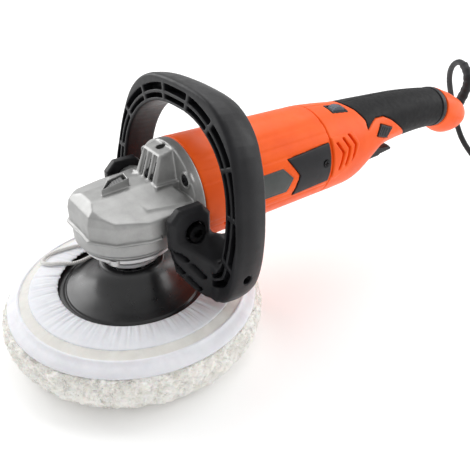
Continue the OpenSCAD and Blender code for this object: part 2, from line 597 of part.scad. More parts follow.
// --------------------------------------------------------------------- cord
cord_route = [[0, 389, 98], [0, 397, 103.5], [0, 403, 110], [0, 408, 119], [-1, 411, 128], [-6, 414, 137],
    [-15, 419, 142.5], [-26, 426, 142], [-36, 433, 135.5], [-43, 441, 125], [-47, 450, 112], [-49, 460, 98],
    [-49, 469, 83], [-46, 476, 66], [-39, 479, 50], [-28, 479, 36], [-12, 478, 24], [6, 479, 14], [26,
        483, 7.4],
    [46, 489, 4], [66, 494.6, 3.5], [86, 498.6, 3.5], [104, 500.2, 3.5], [120, 500.4, 3.5]];
lead_route = [[120, 591.6, 3.5], [104, 592, 3.5], [88, 593, 4], [72, 595, 6.2], [57, 597.6, 9.6],
    [43, 600, 12.4], [30, 601.4, 13.4], [20, 602, 13.6]];
module cord_tube() color("#1b1b1b") sweep(catmull(cord_route, 3), cord_d / 2, cord_d / 2, 10);
module cord_lead() color("#1b1b1b") sweep(catmull(lead_route, 3), cord_d / 2, cord_d / 2, 10);
module strain_relief() color("#151515") difference() {
    sweep(catmull([for (i = [0 : 6]) cord_route[i]], 4), 6.1, 4.4, 14);
    sweep(catmull([for (i = [0 : 7]) cord_route[i]], 4), cord_d / 2 + 0.05, cord_d / 2 + 0.05, 10);
}
coil_top = 0.2 + cord_d * ceil(coil_turns / 3);  // three turns lie side by side
module cord_coil() color("#1b1b1b") translate([120, 546, 0]) rotate_extrude()
    polygon([[23, 0.2], [41, 0.2], [42, 1.6], [42, coil_top - 1.4], [41, coil_top], [23, coil_top],
        [22, coil_top - 1.4], [22, 1.6]]);
module cord_clamp() color("#222") difference() {
    translate([-8, 362, 92.4]) cube([16, 9, 6]);
    translate([0, 350, 98.4]) rotate([-90, 0, 0]) cylinder(r = cord_d / 2, h = 40);
    for (s = [-5.8, 5.8]) translate([s, 366.5, 80]) cylinder(r = 1.3, h = 20);
}
module plug() color("#151515") translate([20, 602, 13.6]) rotate([0, -90, 0]) difference() {
    union() {
        cylinder(r1 = 5, r2 = 6.4, h = 14);
        translate([0, 0, 13.9]) intersection() {
            cylinder(r = 17.4, h = 24);
            translate([-13.3, -20, -1]) cube([26.6, 40, 30]);
        }
    }
    translate([0, 0, -1]) cylinder(r = cord_d / 2 + 0.1, h = 9);
    for (s = [-9.5, 9.5]) translate([0, s, 26]) cylinder(r = 2.12, h = 20);
}
module plug_pins() color("silver") translate([20, 602, 13.6]) rotate([0, -90, 0])
    for (s = [-9.5, 9.5]) translate([0, s, 26]) {
        cylinder(r = 2.1, h = 12.5);
        translate([0, 0, 12.5]) cylinder(r = 2.4, h = 15.5);
        translate([0, 0, 28]) cylinder(r1 = 2.4, r2 = 1.4, h = 2.5);
    }

/* [Show] */
// Node to build on its own, or all

/* [Hidden] */
gear_housing();
bearing_flange();
flange_screws();
head_screws();
spindle_bearing_lower();
spindle_bearing_upper();
spindle_lock_button();
spindle();
ring_gear();
retaining_nut();
backing_plate();
plate_insert();
foam_pad();
wool_bonnet();
cloth_cover();
drawstring();
rotor_bearing_front();
pinion();
rotor_shaft();
cooling_fan();
rotor_core();
commutator();
stator();
field_coils();
rotor_bearing_rear();
bearing_bracket();
fan_baffle();
brush_holders();
carbon_brushes();
brush_springs();
motor_housing();
brush_covers();
brush_cover_screws();
label_plates();
rear_housing_left();
rear_housing_right();
soft_grip();
grip_rim();
end_cap();
housing_screws();
speed_dial();
dial_axle();
speed_board();
switch_body();
trigger_paddle();
trigger_pin();
trigger_spring();
lock_button();
lock_spring();
lock_block();
d_handle();
handle_bolts();
handle_washers();
strain_relief();
cord_tube();
cord_coil();
cord_lead();
cord_clamp();
plug();
plug_pins();
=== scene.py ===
import json
import math
import bpy
import numpy as np
from mathutils import Matrix, Vector, noise


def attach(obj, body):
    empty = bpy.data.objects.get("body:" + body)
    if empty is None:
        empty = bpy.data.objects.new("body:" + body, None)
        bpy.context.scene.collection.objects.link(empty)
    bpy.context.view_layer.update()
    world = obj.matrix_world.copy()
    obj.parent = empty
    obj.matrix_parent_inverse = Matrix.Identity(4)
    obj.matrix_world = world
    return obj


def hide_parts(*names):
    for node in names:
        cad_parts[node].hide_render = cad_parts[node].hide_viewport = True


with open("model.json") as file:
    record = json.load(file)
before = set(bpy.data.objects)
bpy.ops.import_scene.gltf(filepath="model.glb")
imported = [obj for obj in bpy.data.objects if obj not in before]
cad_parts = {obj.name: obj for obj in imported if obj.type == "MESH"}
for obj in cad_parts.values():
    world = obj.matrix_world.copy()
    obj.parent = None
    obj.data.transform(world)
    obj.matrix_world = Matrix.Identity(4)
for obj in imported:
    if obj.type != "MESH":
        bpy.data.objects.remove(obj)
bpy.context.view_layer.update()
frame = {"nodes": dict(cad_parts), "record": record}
NODES = frame["nodes"]
MM = 0.001
AXIS_Z = 110.0          # height of the motor axis, mm
RF, RR = 41.0, 39.2     # motor housing radius at its front and rear joints
Y1, Y2 = 42.0, 168.0    # front and rear joints of the motor housing

# ---------------------------------------------------------------- camera
AZ, EL, ROLL = math.radians(52.76), math.radians(32.44), math.radians(0.93)
CAM = Vector((0.3190, -0.1444, 0.3036))
FOCAL_IN_WIDTHS = 1.16819
SENSOR = 36.0


def make_camera():
    back = Vector((math.sin(AZ) * math.cos(EL), -math.cos(AZ) * math.cos(EL), math.sin(EL)))
    right = Vector((math.cos(AZ), math.sin(AZ), 0.0))
    up = back.cross(right)
    side = right * math.cos(ROLL) + up * math.sin(ROLL)
    top = up * math.cos(ROLL) - right * math.sin(ROLL)
    data = bpy.data.cameras.new("camera")
    data.sensor_width = SENSOR
    data.lens = SENSOR * FOCAL_IN_WIDTHS
    data.clip_start = 0.01
    camera = bpy.data.objects.new("camera", data)
    bpy.context.scene.collection.objects.link(camera)
    pose = Matrix((side, top, back)).transposed().to_4x4()
    pose.translation = CAM
    camera.matrix_world = pose
    bpy.context.scene.camera = camera


make_camera()


# ---------------------------------------------------------------- mesh helpers
def link(obj):
    bpy.context.scene.collection.objects.link(obj)
    return obj


def mesh_object(name, verts, faces, smooth=True):
    """Object from vertices in mm and faces of three or four corners."""
    me = bpy.data.meshes.new(name)
    me.from_pydata([tuple(v) for v in np.asarray(verts, float) * MM], [], [tuple(map(int, f)) for f in faces])
    me.validate()
    if smooth:
        me.shade_smooth()
    return link(bpy.data.objects.new(name, me))


def quads_object(name, verts, quads):
    """Smooth object from a numpy array of vertices, mm, and one of quads."""
    me = bpy.data.meshes.new(name)
    me.vertices.add(len(verts))
    me.vertices.foreach_set("co", (verts * MM).astype(np.float32).ravel())
    me.loops.add(quads.size)
    me.loops.foreach_set("vertex_index", quads.astype(np.int32).ravel())
    me.polygons.add(len(quads))
    me.polygons.foreach_set("loop_start", np.arange(0, quads.size, 4, dtype=np.int32))
    me.update(calc_edges=True)
    me.validate()
    me.shade_smooth()
    return link(bpy.data.objects.new(name, me))


def settle(obj):
    """Applies the object's modifiers."""
    deps = bpy.context.evaluated_depsgraph_get()
    me = bpy.data.meshes.new_from_object(obj.evaluated_get(deps))
    old = obj.data
    obj.modifiers.clear()
    obj.data = me
    bpy.data.meshes.remove(old)
    return obj


def thin_out(obj, ratio):
    """Fewer faces where the surface is flat, with smooth shading."""
    mod = obj.modifiers.new("fewer", "DECIMATE")
    mod.ratio = ratio
    settle(obj)
    obj.data.shade_smooth()
    return obj


def vertex_places(obj):
    """Vertices of a mesh object as an array, in metres."""
    co = np.zeros(len(obj.data.vertices) * 3)
    obj.data.vertices.foreach_get("co", co)
    return co.reshape(-1, 3)


def move_vertices(obj, co):
    obj.data.vertices.foreach_set("co", co.ravel())
    obj.data.update()


def place(obj, body, slot, *replaced, material=None):
    """Puts a piece on its body, in its slot's own material unless another is given."""
    obj.data.materials.clear()
    obj.data.materials.append(material or MATERIALS[slot])
    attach(obj, body)
    if replaced:
        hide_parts(*replaced)
    return obj


# ---------------------------------------------------------------- solid fields
def smax(a, b, k):
    """Intersection with an edge rounded over about k."""
    h = np.clip(0.5 + 0.5 * (a - b) / k, 0, 1)
    return b + (a - b) * h + k * h * (1 - h)


def smin(a, b, k):
    return -smax(-a, -b, k)


def polygon_distance(points, u, v):
    """Signed distance in the plane to a closed polygon, negative inside."""
    u, v = np.broadcast_arrays(u, v)
    near = np.full(u.shape, 1e9)
    sign = np.ones(u.shape)
    for i in range(len(points)):
        (ax, ay), (bx, by) = points[i], points[i - 1]
        ex, ey = bx - ax, by - ay
        wx, wy = u - ax, v - ay
        t = np.clip((wx * ex + wy * ey) / (ex * ex + ey * ey + 1e-12), 0, 1)
        near = np.minimum(near, (wx - ex * t) ** 2 + (wy - ey * t) ** 2)
        above, below, left = v >= ay, v < by, ex * wy > ey * wx
        flip = (above & below & left) | (~above & ~below & ~left)
        sign = np.where(flip, -sign, sign)
    return sign * np.sqrt(near)


def block(x, y, z, low, high, k=0.6):
    """Box between two corners with rounded edges."""
    f = smax(low[0] - x, x - high[0], k)
    f = smax(f, smax(low[1] - y, y - high[1], k), k)
    return smax(f, smax(low[2] - z, z - high[2], k), k)


def rod(x, y, z, axis, centre, radius, low, high, k=0.6):
    """Cylinder along X, Y or Z."""
    if axis == "x":
        r, along = np.hypot(y - centre[0], z - centre[1]), x
    elif axis == "y":
        r, along = np.hypot(x - centre[0], z - centre[1]), y
    else:
        r, along = np.hypot(x - centre[0], y - centre[1]), z
    return smax(r - radius, smax(low - along, along - high, k), k)


class Grid:
    """Sample points of a box, mm; x, y and z broadcast against each other."""

    def __init__(self, low, high, step):
        self.low, self.step = np.array(low, float), step
        count = [int(math.ceil((b - a) / step)) + 1 for a, b in zip(low, high)]
        self.x, self.y, self.z = np.meshgrid(
            *[a + step * np.arange(n) for a, n in zip(low, count)], indexing="ij", sparse=True
        )

    def skin(self, name, field):
        """Object whose surface is where the field is zero, one vertex in each cell that it crosses."""
        shape = [len(self.x), self.y.shape[1], self.z.shape[2]]
        field = np.broadcast_to(field, shape)
        stride = np.array([shape[1] * shape[2], shape[2], 1])
        cells, spots, quads = [], [], []
        for ax in range(3):
            cut = [slice(None)] * 3
            cut[ax] = slice(0, -1)
            first = field[tuple(cut)]
            cut[ax] = slice(1, None)
            second = field[tuple(cut)]
            p = np.argwhere((first < 0) != (second < 0))
            a, b = first[tuple(p.T)], second[tuple(p.T)]
            e0, e1, e2 = (np.eye(3, dtype=int)[(ax + i) % 3] for i in range(3))
            spot = p + (a / (a - b))[:, None] * e0
            around = [p, p - e1, p - e1 - e2, p - e2]
            ids = np.stack([q @ stride for q in around], 1)
            cells.append(ids.ravel())
            spots.append(np.repeat(spot, 4, 0))
            quads.append(np.where((a < 0)[:, None], ids, ids[:, ::-1]))
        cells, spots, quads = np.concatenate(cells), np.concatenate(spots), np.concatenate(quads)
        used, which = np.unique(cells, return_inverse=True)
        number = np.bincount(which)
        verts = np.stack([np.bincount(which, spots[:, i]) / number for i in range(3)], 1)
        return quads_object(name, verts * self.step + self.low, np.searchsorted(used, quads))


def smooth_line(points, k):
    """Catmull-Rom line through the points, k steps for each stretch."""
    p = np.array(points, float)
    out = []
    for i in range(len(p) - 1):
        a, b, c, d = p[max(i - 1, 0)], p[i], p[i + 1], p[min(i + 2, len(p) - 1)]
        for j in range(k):
            t = j / k
            bend = (2 * a - 5 * b + 4 * c - d) * t * t + (3 * b - a - 3 * c + d) * t ** 3
            out.append(0.5 * (2 * b + (c - a) * t + bend))
    return np.array(out + [p[-1]])


def step_up(v, low, high):
    t = np.clip((v - low) / (high - low), 0, 1)
    return t * t * (3 - 2 * t)


def lathe(name, profile, turns=160):
    """Closed surface of revolution about +Z from (radius, z) points in mm; a point on the axis closes it."""
    verts, rows = [], []
    for r, z in profile:
        if r < 1e-6:
            rows.append([len(verts)] * turns)
            verts.append((0, 0, z))
        else:
            rows.append(list(range(len(verts), len(verts) + turns)))
            verts += [
                (r * math.cos(2 * math.pi * i / turns), r * math.sin(2 * math.pi * i / turns), z)
                for i in range(turns)
            ]
    faces = []
    pairs = list(zip(rows, rows[1:]))
    if profile[0][0] > 1e-6:
        pairs.append((rows[-1], rows[0]))
    for a, b in pairs:
        for i in range(turns):
            corners = []
            for v in (a[i], a[(i + 1) % turns], b[(i + 1) % turns], b[i]):
                if v not in corners:
                    corners.append(v)
            if len(corners) > 2:
                faces.append(corners)
    return mesh_object(name, verts, faces)


# ---------------------------------------------------------------- materials
class Shader:
    """Principled material with helpers that add procedural nodes in the row frame's metres."""

    def __init__(self, name, rough=0.5, metallic=0.0, **sockets):
        self.mat = bpy.data.materials.new(name)
        self.mat.use_nodes = True
        self.tree = self.mat.node_tree
        self.bsdf = self.tree.nodes["Principled BSDF"]
        self.bsdf.inputs["Roughness"].default_value = rough
        self.bsdf.inputs["Metallic"].default_value = metallic
        for key, value in sockets.items():
            self.bsdf.inputs[key.replace("_", " ")].default_value = value
        self.coords = self.node("ShaderNodeTexCoord").outputs["Object"]
        self.normal = None

    def node(self, kind, **settings):
        made = self.tree.nodes.new(kind)
        for key, value in settings.items():
            setattr(made, key, value)
        return made

    def join(self, a, b):
        self.tree.links.new(a, b)

    def squeezed(self, scale):
        mapping = self.node("ShaderNodeMapping")
        mapping.inputs["Scale"].default_value = scale
        self.join(self.coords, mapping.inputs["Vector"])
        return mapping.outputs["Vector"]

    def noise(self, size_mm, detail=3.0, rough=0.55, vector=None):
        tex = self.node("ShaderNodeTexNoise")
        tex.inputs["Scale"].default_value = 1000.0 / size_mm
        tex.inputs["Detail"].default_value = detail
        tex.inputs["Roughness"].default_value = rough
        self.join(vector or self.coords, tex.inputs["Vector"])
        return tex.outputs["Fac"]

    def cells(self, size_mm, feature):
        tex = self.node("ShaderNodeTexVoronoi", feature=feature)
        tex.inputs["Scale"].default_value = 1000.0 / size_mm
        self.join(self.coords, tex.inputs["Vector"])
        return tex.outputs["Distance"]

    def bands(self, size_mm, direction, distortion=0.0):
        tex = self.node("ShaderNodeTexWave", bands_direction=direction)
        tex.inputs["Scale"].default_value = 1000.0 / size_mm / 2
        tex.inputs["Distortion"].default_value = distortion
        self.join(self.coords, tex.inputs["Vector"])
        return tex.outputs["Fac"]

    def math(self, operation, a, b):
        made = self.node("ShaderNodeMath", operation=operation)
        for socket, value in zip(made.inputs, (a, b)):
            if isinstance(value, (int, float)):
                socket.default_value = value
            else:
                self.join(value, socket)
        return made.outputs[0]

    def ramp(self, value, low, high, out_low=0.0, out_high=1.0):
        made = self.node("ShaderNodeMapRange")
        self.join(value, made.inputs["Value"])
        for key, number in zip(("From Min", "From Max", "To Min", "To Max"), (low, high, out_low, out_high)):
            made.inputs[key].default_value = number
        return made.outputs["Result"]

    def tint(self, value, colour_a, colour_b, low=0.3, high=0.7):
        ramp = self.node("ShaderNodeValToRGB")
        ramp.color_ramp.elements[0].position = low
        ramp.color_ramp.elements[0].color = (*colour_a, 1)
        ramp.color_ramp.elements[1].position = high
        ramp.color_ramp.elements[1].color = (*colour_b, 1)
        self.join(value, ramp.inputs["Fac"])
        self.join(ramp.outputs["Color"], self.bsdf.inputs["Base Color"])
        return self

    def roughness(self, value, low, high):
        self.join(self.ramp(value, 0.3, 0.7, low, high), self.bsdf.inputs["Roughness"])
        return self

    def bump(self, height, depth_mm, strength=1.0):
        made = self.node("ShaderNodeBump")
        made.inputs["Strength"].default_value = strength
        made.inputs["Distance"].default_value = depth_mm * MM
        self.join(height, made.inputs["Height"])
        if self.normal is not None:
            self.join(self.normal, made.inputs["Normal"])
        self.normal = made.outputs["Normal"]
        self.join(self.normal, self.bsdf.inputs["Normal"])
        return self


def cast_metal(name, dark, light):
    s = Shader(name, 0.42, 0.85)
    blotch, grain = s.noise(14, 4), s.noise(0.55, 2, 0.6)
    s.tint(s.math("ADD", s.math("MULTIPLY", blotch, 0.6), s.math("MULTIPLY", grain, 0.4)), dark, light)
    s.roughness(grain, 0.36, 0.56)
    s.bump(grain, 0.10, 0.55).bump(s.noise(1.6, 2), 0.09, 0.4)
    return s.mat


def turned_metal(name, dark, light, rough=0.25, squeeze=(1, 1, 14)):
    s = Shader(name, rough, 1.0)
    rings = s.noise(3.0, 3, 0.6, s.squeezed(squeeze))
    s.tint(rings, dark, light).roughness(s.noise(5), rough - 0.05, rough + 0.10)
    s.bump(rings, 0.012, 0.25)
    return s.mat


def moulded_plastic(name, dark, light, rough, grain_mm=0.45, depth=0.05, shine=0.4):
    s = Shader(name, rough, 0.0, Specular_IOR_Level=shine)
    grain = s.noise(grain_mm, 2, 0.6)
    s.tint(s.noise(22, 3), dark, light).roughness(s.noise(6, 3), rough - 0.05, rough + 0.06)
    s.bump(grain, depth, 0.5).bump(s.noise(30, 1), 0.25, 0.12)
    return s.mat


def rubber(name, dark, light, rough=0.6, cell_mm=0.8, shine=0.3):
    s = Shader(name, rough, 0.0, Specular_IOR_Level=shine)
    s.tint(s.noise(16, 3), dark, light).roughness(s.noise(4, 3), rough - 0.06, rough + 0.08)
    s.bump(s.cells(cell_mm, "SMOOTH_F1"), 0.09, 0.5).bump(s.noise(2.4, 2), 0.06, 0.25)
    return s.mat


def woven_cloth():
    s = Shader("cloth", 0.82, 0.0, Sheen_Weight=0.35, Subsurface_Weight=0.08, Subsurface_Scale=0.002)
    weave = s.math("MULTIPLY", s.bands(0.7, "X", 0.6), s.bands(0.7, "Y", 0.6))
    s.tint(s.noise(9, 4), (0.76, 0.76, 0.80), (0.85, 0.85, 0.885), 0.25, 0.7)
    s.bump(weave, 0.08, 0.5).bump(s.noise(3.5, 3), 0.2, 0.35)
    return s.mat


def wool_pile():
    s = Shader("wool", 0.9, 0.0, Sheen_Weight=0.6, Sheen_Roughness=0.6,
               Subsurface_Weight=0.12, Subsurface_Scale=0.003)
    curls = s.cells(1.3, "SMOOTH_F1")
    clumps = s.noise(7, 4, 0.62)
    s.tint(s.math("ADD", s.math("MULTIPLY", clumps, 0.75), s.math("MULTIPLY", s.noise(0.8, 3), 0.25)),
           (0.86, 0.83, 0.76), (0.95, 0.935, 0.89), 0.3, 0.6)
    s.bump(curls, 0.4, 0.4).bump(s.noise(0.7, 3, 0.7), 0.25, 0.4)
    return s.mat


def laminated(name, dark, light, axis="Y"):
    s = Shader(name, 0.45, 0.8)
    sheets = s.bands(1.0, axis)
    s.tint(s.math("MULTIPLY", sheets, s.noise(5, 3)), dark, light, 0.1, 0.5).roughness(s.noise(2), 0.35, 0.55)
    s.bump(sheets, 0.08, 0.6)
    return s.mat


def copper_wound(name, dark, light):
    s = Shader(name, 0.32, 0.95)
    wires = s.bands(0.9, "DIAGONAL", 1.2)
    s.tint(s.math("MULTIPLY", wires, s.noise(4, 3)), dark, light, 0.05, 0.5).bump(wires, 0.15, 0.7)
    s.roughness(s.noise(2), 0.25, 0.42)
    return s.mat


def circuit_board():
    s = Shader("board_green", 0.4, 0.0, Coat_Weight=0.4)
    tracks = s.cells(2.2, "DISTANCE_TO_EDGE")
    s.tint(tracks, (0.05, 0.22, 0.09), (0.015, 0.12, 0.045), 0.03, 0.1).bump(tracks, 0.05, 0.4)
    return s.mat


def foam_rubber():
    s = Shader("foam", 0.95, 0.0)
    pores = s.cells(1.1, "SMOOTH_F1")
    s.tint(pores, (0.02, 0.02, 0.022), (0.11, 0.11, 0.12), 0.15, 0.6).bump(pores, 0.5, 0.8)
    return s.mat


def gloss_plate():
    s = Shader("plate_black", 0.28, 0.0, Coat_Weight=0.20, Coat_Roughness=0.22)
    s.tint(s.noise(25, 3), (0.006, 0.006, 0.007), (0.014, 0.014, 0.015))
    s.roughness(s.noise(7, 4, 0.65), 0.26, 0.38)
    s.bump(s.noise(18, 2), 0.12, 0.18).bump(s.noise(0.5, 2), 0.012, 0.3)
    return s.mat


def string_cotton():
    s = Shader("string", 0.85, 0.0, Sheen_Weight=0.4)
    twist = s.bands(1.1, "DIAGONAL", 1.5)
    s.tint(s.math("MULTIPLY", twist, s.noise(1.5, 2)), (0.62, 0.61, 0.58), (0.88, 0.87, 0.85), 0.05, 0.45)
    s.bump(twist, 0.25, 0.7)
    return s.mat


BLACK = ((0.010, 0.010, 0.011), (0.020, 0.020, 0.022))
MATERIALS = {
    "cast_aluminium": cast_metal("cast_aluminium", (0.29, 0.29, 0.285), (0.44, 0.44, 0.435)),
    "machined_aluminium": turned_metal("machined_aluminium", (0.48, 0.48, 0.48), (0.58, 0.58, 0.58), 0.33),
    "steel": turned_metal("steel", (0.45, 0.45, 0.46), (0.68, 0.68, 0.69), 0.28),
    "gear_steel": turned_metal("gear_steel", (0.16, 0.16, 0.17), (0.33, 0.33, 0.34), 0.34),
    "black_bolt": turned_metal("black_bolt", (0.012, 0.012, 0.013), (0.035, 0.035, 0.037), 0.36),
    "plate_black": gloss_plate(),
    "foam": foam_rubber(),
    "wool": wool_pile(),
    "cloth": woven_cloth(),
    "string": string_cotton(),
    "laminations": laminated("laminations", (0.10, 0.10, 0.11), (0.40, 0.40, 0.42)),
    "copper": copper_wound("copper", (0.28, 0.10, 0.04), (0.72, 0.36, 0.17)),
    "brass": turned_metal("brass", (0.52, 0.38, 0.14), (0.80, 0.62, 0.28), 0.27),
    "carbon": rubber("carbon", (0.015, 0.015, 0.016), (0.05, 0.05, 0.052), 0.55),
    "inner_black": moulded_plastic("inner_black", *BLACK, 0.55),
    "orange_plastic": moulded_plastic("orange_plastic", (0.90, 0.098, 0.006), (0.98, 0.125, 0.010),
                                      0.40, 0.5, 0.02, 0.22),
    "black_plastic": moulded_plastic("black_plastic", (0.010, 0.010, 0.012), (0.018, 0.018, 0.021),
                                     0.42, 0.6, 0.06, 0.28),
    "label_grey": moulded_plastic("label_grey", (0.045, 0.052, 0.050), (0.070, 0.078, 0.075),
                                  0.42, 0.4, 0.02),
    "grip_rubber": rubber("grip_rubber", (0.004, 0.004, 0.005), (0.009, 0.009, 0.010), 0.55, 0.9, 0.16),
    "handle_black": moulded_plastic("handle_black", (0.006, 0.006, 0.007), (0.013, 0.013, 0.015),
                                    0.38, 0.7, 0.09, 0.25),
    "board_green": circuit_board(),
    "cord_rubber": rubber("cord_rubber", *BLACK, 0.5, 1.2),
    "plug_black": rubber("plug_black", *BLACK, 0.5, 1.0),
}
SLOT_OF = {row["node"]: row["material_slot"] for row in frame["record"]["subparts"]}
for node, obj in NODES.items():
    obj.data.materials.clear()
    obj.data.materials.append(MATERIALS[SLOT_OF[node]])
NODES["brush_cover_screws"].data.materials[0] = MATERIALS["black_bolt"]


# ---------------------------------------------------------------- mains cord
CORD_D = 6.5 * MM
# out of the boot, over the loop and down to the surface, up to the coil
ROUTE = [
    (0, 0.389, 0.098), (0, 0.397, 0.1035), (0, 0.403, 0.110), (0, 0.408, 0.119), (-0.001, 0.411, 0.128),
    (-0.006, 0.414, 0.137), (-0.015, 0.419, 0.1425), (-0.026, 0.426, 0.142), (-0.036, 0.433, 0.1355),
    (-0.043, 0.441, 0.125), (-0.047, 0.450, 0.112), (-0.049, 0.460, 0.098), (-0.049, 0.469, 0.083),
    (-0.046, 0.476, 0.066), (-0.039, 0.479, 0.050), (-0.028, 0.479, 0.036), (-0.012, 0.478, 0.024),
    (0.006, 0.479, 0.014), (0.026, 0.483, 0.0074), (0.046, 0.489, 0.004), (0.066, 0.4946, 0.0035),
    (0.086, 0.4986, 0.0035), (0.104, 0.5002, 0.0035), (0.120, 0.5004, 0.0035),
]
# from the coil to the plug
LEAD = [
    (0.120, 0.5916, 0.0035), (0.104, 0.592, 0.0035), (0.088, 0.593, 0.004), (0.072, 0.595, 0.0062),
    (0.057, 0.5976, 0.0096), (0.043, 0.600, 0.0124), (0.030, 0.6014, 0.0134), (0.020, 0.602, 0.0136),
]
COIL_CENTRE = (0.120, 0.546)
COIL_TURNS = 7.5


def coil_points():
    """Three turns side by side, inwards, three more on top, outwards, and the rest on the third layer."""
    # angle in degrees along the winding, radius and height in mm
    stations = [(0, 45.6, 3.5), (110, 38.8, 3.5), (320, 38.8, 3.5), (380, 32.4, 3.5), (680, 32.4, 3.5),
                (740, 26, 3.5), (1060, 26, 3.5), (1110, 26, 10), (1400, 26, 10), (1460, 32.4, 10),
                (1760, 32.4, 10), (1820, 38.8, 10), (2140, 38.8, 10), (2200, 38.8, 16.4),
                (2560, 38.8, 16.4), (2610, 45.6, 14.5), (360 * COIL_TURNS, 45.6, 3.5)]
    angles, radii, heights = zip(*stations)
    out = []
    for a in np.arange(15, 360 * COIL_TURNS - 5, 15):
        r = np.interp(a, angles, radii) * MM
        turn = math.radians(a - 90)
        out.append((COIL_CENTRE[0] + r * math.cos(turn), COIL_CENTRE[1] + r * math.sin(turn),
                    np.interp(a, angles, heights) * MM))
    return out


def round_curve(name, line, diameter, resolution):
    """Curve object through points in metres, with a round section."""
    data = bpy.data.curves.new(name, "CURVE")
    data.dimensions = "3D"
    data.bevel_depth = diameter / 2
    data.bevel_resolution = resolution
    data.use_fill_caps = True
    spline = data.splines.new("POLY")
    spline.points.add(len(line) - 1)
    for point, co in zip(spline.points, line):
        point.co = (*co, 1)
    return link(bpy.data.objects.new(name, data))


def line_length(line):
    return float(np.linalg.norm(np.diff(line, axis=0), axis=1).sum())


def make_cord():
    line = np.vstack([smooth_line(ROUTE, 3), coil_points(), smooth_line(LEAD, 3)])
    cord = round_curve("mains_cord", line, CORD_D, 5)
    print("cord length", round(line_length(line), 3))
    return place(cord, "machine", "cord_rubber", "cord_tube", "cord_coil", "cord_lead")


def tube_along(name, line, radii, sides=24):
    """Closed tube through the points, in metres, with a radius for each."""
    verts, rings = [], []
    u = Vector((1, 0, 0))
    for i, centre in enumerate(line):
        t = Vector(line[min(i + 1, len(line) - 1)]) - Vector(line[max(i - 1, 0)])
        t.normalize()
        u = (u - t * u.dot(t)).normalized()
        w = t.cross(u)
        rings.append(range(len(verts), len(verts) + sides))
        for j in range(sides):
            a = 2 * math.pi * j / sides
            verts.append((Vector(centre) + (u * math.cos(a) + w * math.sin(a)) * radii[i]) / MM)
    faces = [list(rings[0])[::-1], list(rings[-1])]
    for a, b in zip(rings, rings[1:]):
        faces += [(a[j], a[(j + 1) % sides], b[(j + 1) % sides], b[j]) for j in range(sides)]
    return mesh_object(name, verts, faces)


def make_boot():
    """Strain relief: a ribbed taper round the first stretch of the cord."""
    line = smooth_line(ROUTE[:7], 12)
    share = np.linspace(0, 1, len(line))
    ribs = 0.35 * (np.sin(share * 2 * math.pi * 9) > 0) * (share > 0.22) * (share < 0.95)
    radii = (6.1 - 1.8 * share - ribs) * MM
    boot = tube_along("cord_boot", line, radii)
    return place(boot, "machine", "cord_rubber", "strain_relief")


def make_plug():
    """Two-pole plug: a waisted grip with finger ribs, round the exit of the lead."""
    grid = Grid((-21, 583, -3), (23, 621, 30), 0.6)
    x, y, z = grid.x, grid.y, grid.z
    u, v = y - 602, z - 13.6
    head = smax(np.hypot(u, v) - 17.2, np.abs(v) - 13.1, 1.5)
    waist = 1.4 * np.exp(-(x / 5.0) ** 2)
    head = smax(head + waist, smax(-17.8 - x, x - 6.0, 1.5), 1.6)
    neck = smax(np.hypot(u, v) - (5.0 + np.clip(20 - x, 0, 14) * 0.1), smax(x - 19.8, 4 - x, 0.8), 0.8)
    body = smin(head, neck, 2.0)
    for place_x in (-9, -5.5, -2):
        body = smax(body, 0.55 - np.hypot(x - place_x, np.abs(v) - 13.1), 0.5)
    plug = grid.skin("mains_plug", body)
    return place(thin_out(plug, 0.5), "machine", "plug_black", "plug")


mains_cord = make_cord()
boot = make_boot()
plug = make_plug()


# ---------------------------------------------------------------- gear head
HEAD_PLAN = [(-17, -36.5), (17, -36.5), (32, -24), (40, -2), (40, 36), (-40, 36), (-40, -2), (-32, -24)]
HUMP = [(12.5, 118), (15, 122.2), (22.6, 145.2), (24.2, 146.4), (37, 149.6), (37, 118)]
BOSS = [(4.6, -18.8), (4.6, 2.0), (-4.6, 3.0), (-4.6, -10.4)]
SLOT_XS = (-7.0, 0.0, 7.0)
BOLT_Y, BOLT_Z = 25.5, 105.0    # D-handle's bolts
SCREW_CIRCLE = 35.5             # radius of the ring of head screws


def grown(points, amount):
    """Convex polygon moved out by an amount along its corners' rays from the middle."""
    p = np.array(points, float)
    middle = p.mean(0)
    ray = p - middle
    return [tuple(q) for q in middle + ray * (1 + amount / np.linalg.norm(ray, axis=1, keepdims=True))]


def head_screw_places():
    """X and Z of the four screws that join the head to the motor."""
    angles = [math.radians(degrees) for degrees in (38, 142, 218, 322)]
    return [(SCREW_CIRCLE * math.cos(a), AXIS_Z + SCREW_CIRCLE * math.sin(a)) for a in angles]


